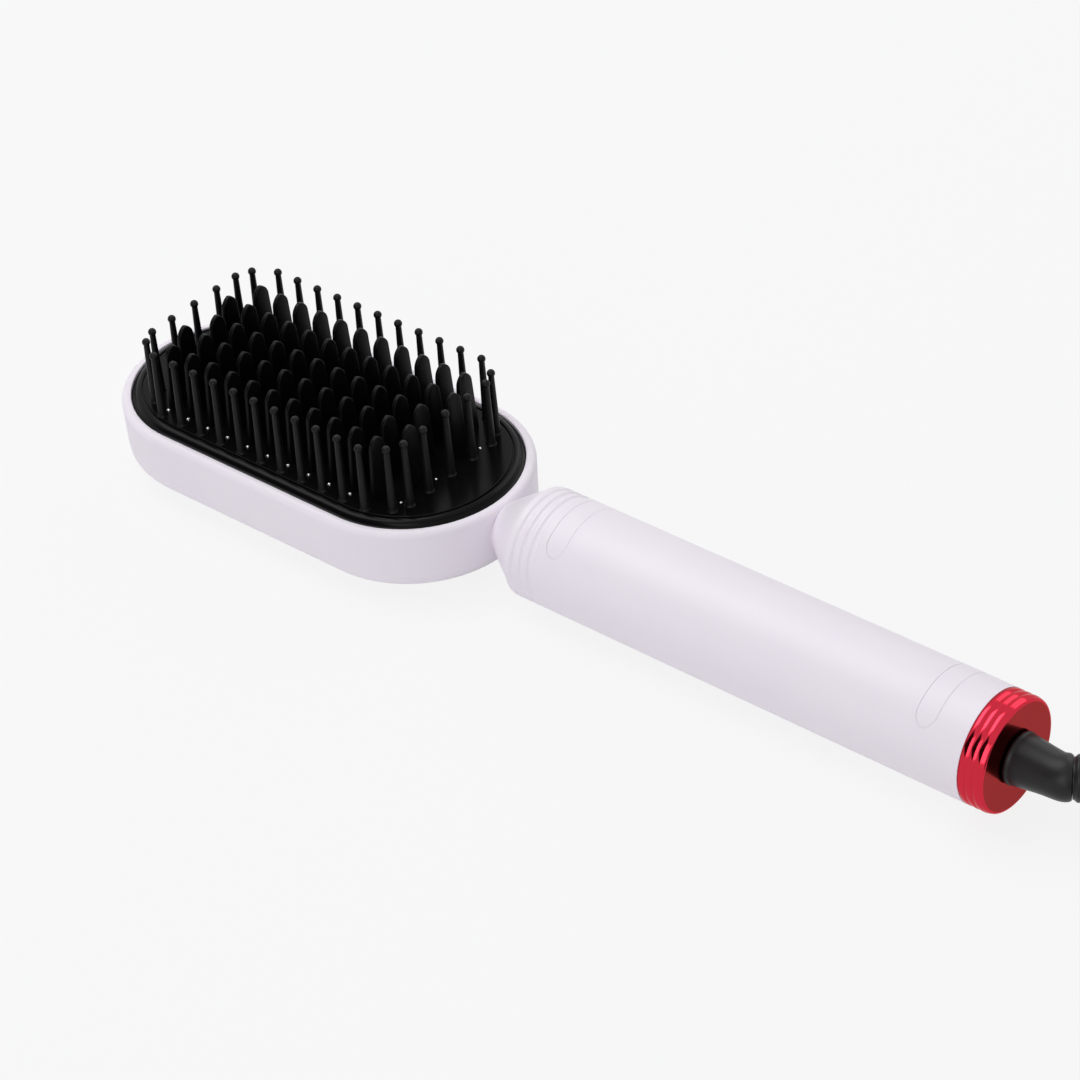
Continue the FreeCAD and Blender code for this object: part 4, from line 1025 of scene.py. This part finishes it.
@dataclass
class Studio:
    """The pale floor, the soft lights and the camera, whose place alone is in millimetres."""

    place: Triple = (528.09, -575.36, 610.88)
    right: Triple = (0.766005, 0.639335, -0.066994)
    down: Triple = (0.347507, -0.499513, -0.793553)
    ahead: Triple = (-0.540810, 0.584584, -0.604803)
    focal_px: float = 3736.41
    frame_px: float = 1080.0
    backdrop: float = 0.945
    floor_half: float = 20.0
    floor_z: float = -0.0001
    floor_white: float = 0.9

    def camera(self) -> None:
        """Makes the camera: its axes are columns of right, up and backwards."""
        data = bpy.data.cameras.new("camera")
        data.sensor_width = 36.0
        data.lens = self.focal_px / self.frame_px * data.sensor_width
        data.clip_end = 50.0
        camera = link("camera", data)
        axes = np.column_stack([self.right, -np.array(self.down), -np.array(self.ahead)])
        camera.matrix_world = self._pose(axes, np.array(self.place) * MM)
        bpy.context.scene.camera = camera

    @staticmethod
    def _pose(axes: Array, place: Array) -> Matrix:
        """Returns the pose whose axes are the given columns, at the given place."""
        return Matrix(np.vstack([np.column_stack([axes, place]), [0.0, 0.0, 0.0, 1.0]]).tolist())

    def _facing(self, place: Triple) -> Matrix:
        """The pose of a thing that faces the brush: its Z axis points away from the origin, its X is level.

        Args:
            place: The thing's place, not straight above the origin.

        Returns:
            The pose.
        """
        back = np.array(place) / np.linalg.norm(place)
        side = np.cross(UP, back)
        side /= np.linalg.norm(side)
        return self._pose(np.column_stack([side, np.cross(back, side), back]), np.array(place))

    def _seen_white(
        self, tree: bpy.types.NodeTree, surface: bpy.types.NodeSocket, glow: str, share: float,
    ) -> bpy.types.NodeSocket:
        """Mixes a surface with plain white for rays from the camera, gloss and glass.

        Args:
            tree: The node tree.
            surface: The shader that lights the object.
            glow: The kind of node that shows the white.
            share: How much of the white those rays see.

        Returns:
            The mixed shader's socket.
        """
        nodes, links = tree.nodes, tree.links
        white = nodes.new(glow)
        white.inputs["Color"].default_value = (self.backdrop, self.backdrop, self.backdrop, 1.0)
        path = nodes.new("ShaderNodeLightPath")
        seen = path.outputs["Is Camera Ray"]
        for ray in ("Is Glossy Ray", "Is Transmission Ray"):
            either = nodes.new("ShaderNodeMath")
            either.operation = "MAXIMUM"
            links.new(seen, either.inputs[0])
            links.new(path.outputs[ray], either.inputs[1])
            seen = either.outputs[0]
        part = nodes.new("ShaderNodeMath")
        part.operation = "MULTIPLY"
        part.inputs[1].default_value = share
        links.new(seen, part.inputs[0])
        mix = nodes.new("ShaderNodeMixShader")
        links.new(part.outputs[0], mix.inputs[0])
        links.new(surface, mix.inputs[1])
        links.new(white.outputs[0], mix.inputs[2])
        return mix.outputs[0]

    @staticmethod
    def _sheet(name: str, corners: list[Triple], colour: Triple) -> bpy.types.Object:
        """Makes a flat matt sheet of the stage from its four corners.

        Args:
            name: Its name.
            corners: Its corners in order.
            colour: Its colour.

        Returns:
            The sheet.
        """
        material = bpy.data.materials.new(name)
        material.use_nodes = True
        shader = material.node_tree.nodes["Principled BSDF"]
        shader.inputs["Base Color"].default_value = (*colour, 1.0)
        shader.inputs["Roughness"].default_value = 0.9
        mesh = bpy.data.meshes.new(name)
        mesh.from_pydata(corners, [], [(0, 1, 2, 3)])
        mesh.materials.append(material)
        return link(name, mesh)

    def floor(self) -> None:
        """Makes the floor: pale and matt, seen as the white backdrop with only a faint shadow."""
        half, z = self.floor_half, self.floor_z
        corners = [(-half, -half, z), (half, -half, z), (half, half, z), (-half, half, z)]
        floor = self._sheet("floor", corners, (0.88, 0.88, 0.89))
        tree = floor.data.materials[0].node_tree
        matt = tree.nodes["Principled BSDF"].outputs[0]
        mixed = self._seen_white(tree, matt, "ShaderNodeEmission", self.floor_white)
        tree.links.new(mixed, tree.nodes["Material Output"].inputs["Surface"])

    def world(self) -> None:
        """Makes an even, pale sky that rays from the camera and gloss see as white."""
        world = bpy.data.worlds.new("studio")
        world.use_nodes = True
        tree = world.node_tree
        sky = tree.nodes["Background"]
        sky.inputs["Color"].default_value = (0.97, 0.97, 1.0, 1.0)
        sky.inputs["Strength"].default_value = 0.4
        mixed = self._seen_white(tree, sky.outputs[0], "ShaderNodeBackground", 1.0)
        tree.links.new(mixed, tree.nodes["World Output"].inputs["Surface"])
        bpy.context.scene.world = world

    def lamp(self, name: str, place: Triple, size: float, watts: float) -> None:
        """Makes a square soft lamp that faces the brush.

        Args:
            name: The lamp's name.
            place: Its place in metres.
            size: Its side in metres.
            watts: Its power.
        """
        data = bpy.data.lights.new(name, "AREA")
        data.size = size
        data.energy = watts
        link(name, data).matrix_world = self._facing(place)

    def card(self, place: Triple, wide: float, high: float, lean: float) -> None:
        """Makes the dark card beside the camera, seen only as a dark band in polished metal.

        Args:
            place: Its middle in metres.
            wide: Its width at the bottom in metres.
            high: Its height in metres.
            lean: How far its left edge leans in at the top, in metres.
        """
        x, y = wide / 2, high / 2
        corners = [(-x, -y, 0.0), (x, -y, 0.0), (x, y, 0.0), (lean - x, y, 0.0)]
        card = self._sheet("dark_card", corners, (0.02, 0.02, 0.02))
        card.matrix_world = self._facing(place)
        card.visible_camera = card.visible_diffuse = card.visible_shadow = False

    def build(self) -> None:
        """Sets up the view, the floor and the light."""
        bpy.context.scene.view_settings.view_transform = "Standard"
        self.camera()
        self.floor()
        self.world()
        self.lamp("key", place=(-0.58, -0.05, 1.25), size=1.0, watts=9.5)
        self.lamp("fill", place=(0.5, -1.3, 0.7), size=0.9, watts=5.2)
        self.lamp("back", place=(0.0, 1.2, 0.9), size=0.9, watts=3.5)
        self.card(place=(-0.42, -0.69, 0.55), wide=1.25, high=0.86, lean=0.7)


def main() -> None:
    """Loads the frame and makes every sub-assembly in order."""
    logging.basicConfig(level=logging.INFO, format="%(name)s %(message)s")
    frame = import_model()
    dress_nodes(frame)
    plate, tube, cap = box_mm("bristle_frame"), box_mm("handle_tube"), box_mm("end_cap")
    end_x, axis_z = cap[1][0], (cap[0][2] + cap[1][2]) / 2
    Head(middle_x=(plate[0][0] + plate[1][0]) / 2).build()
    Handle(start_x=tube[0][0], cap_x=tube[1][0], end_x=end_x, axis_z=axis_z).build()
    CordSet(end_x=end_x, axis_z=axis_z).build()
    Controls(axis_z=axis_z).build()
    Studio().build()


if __name__ == "__main__":
    main()
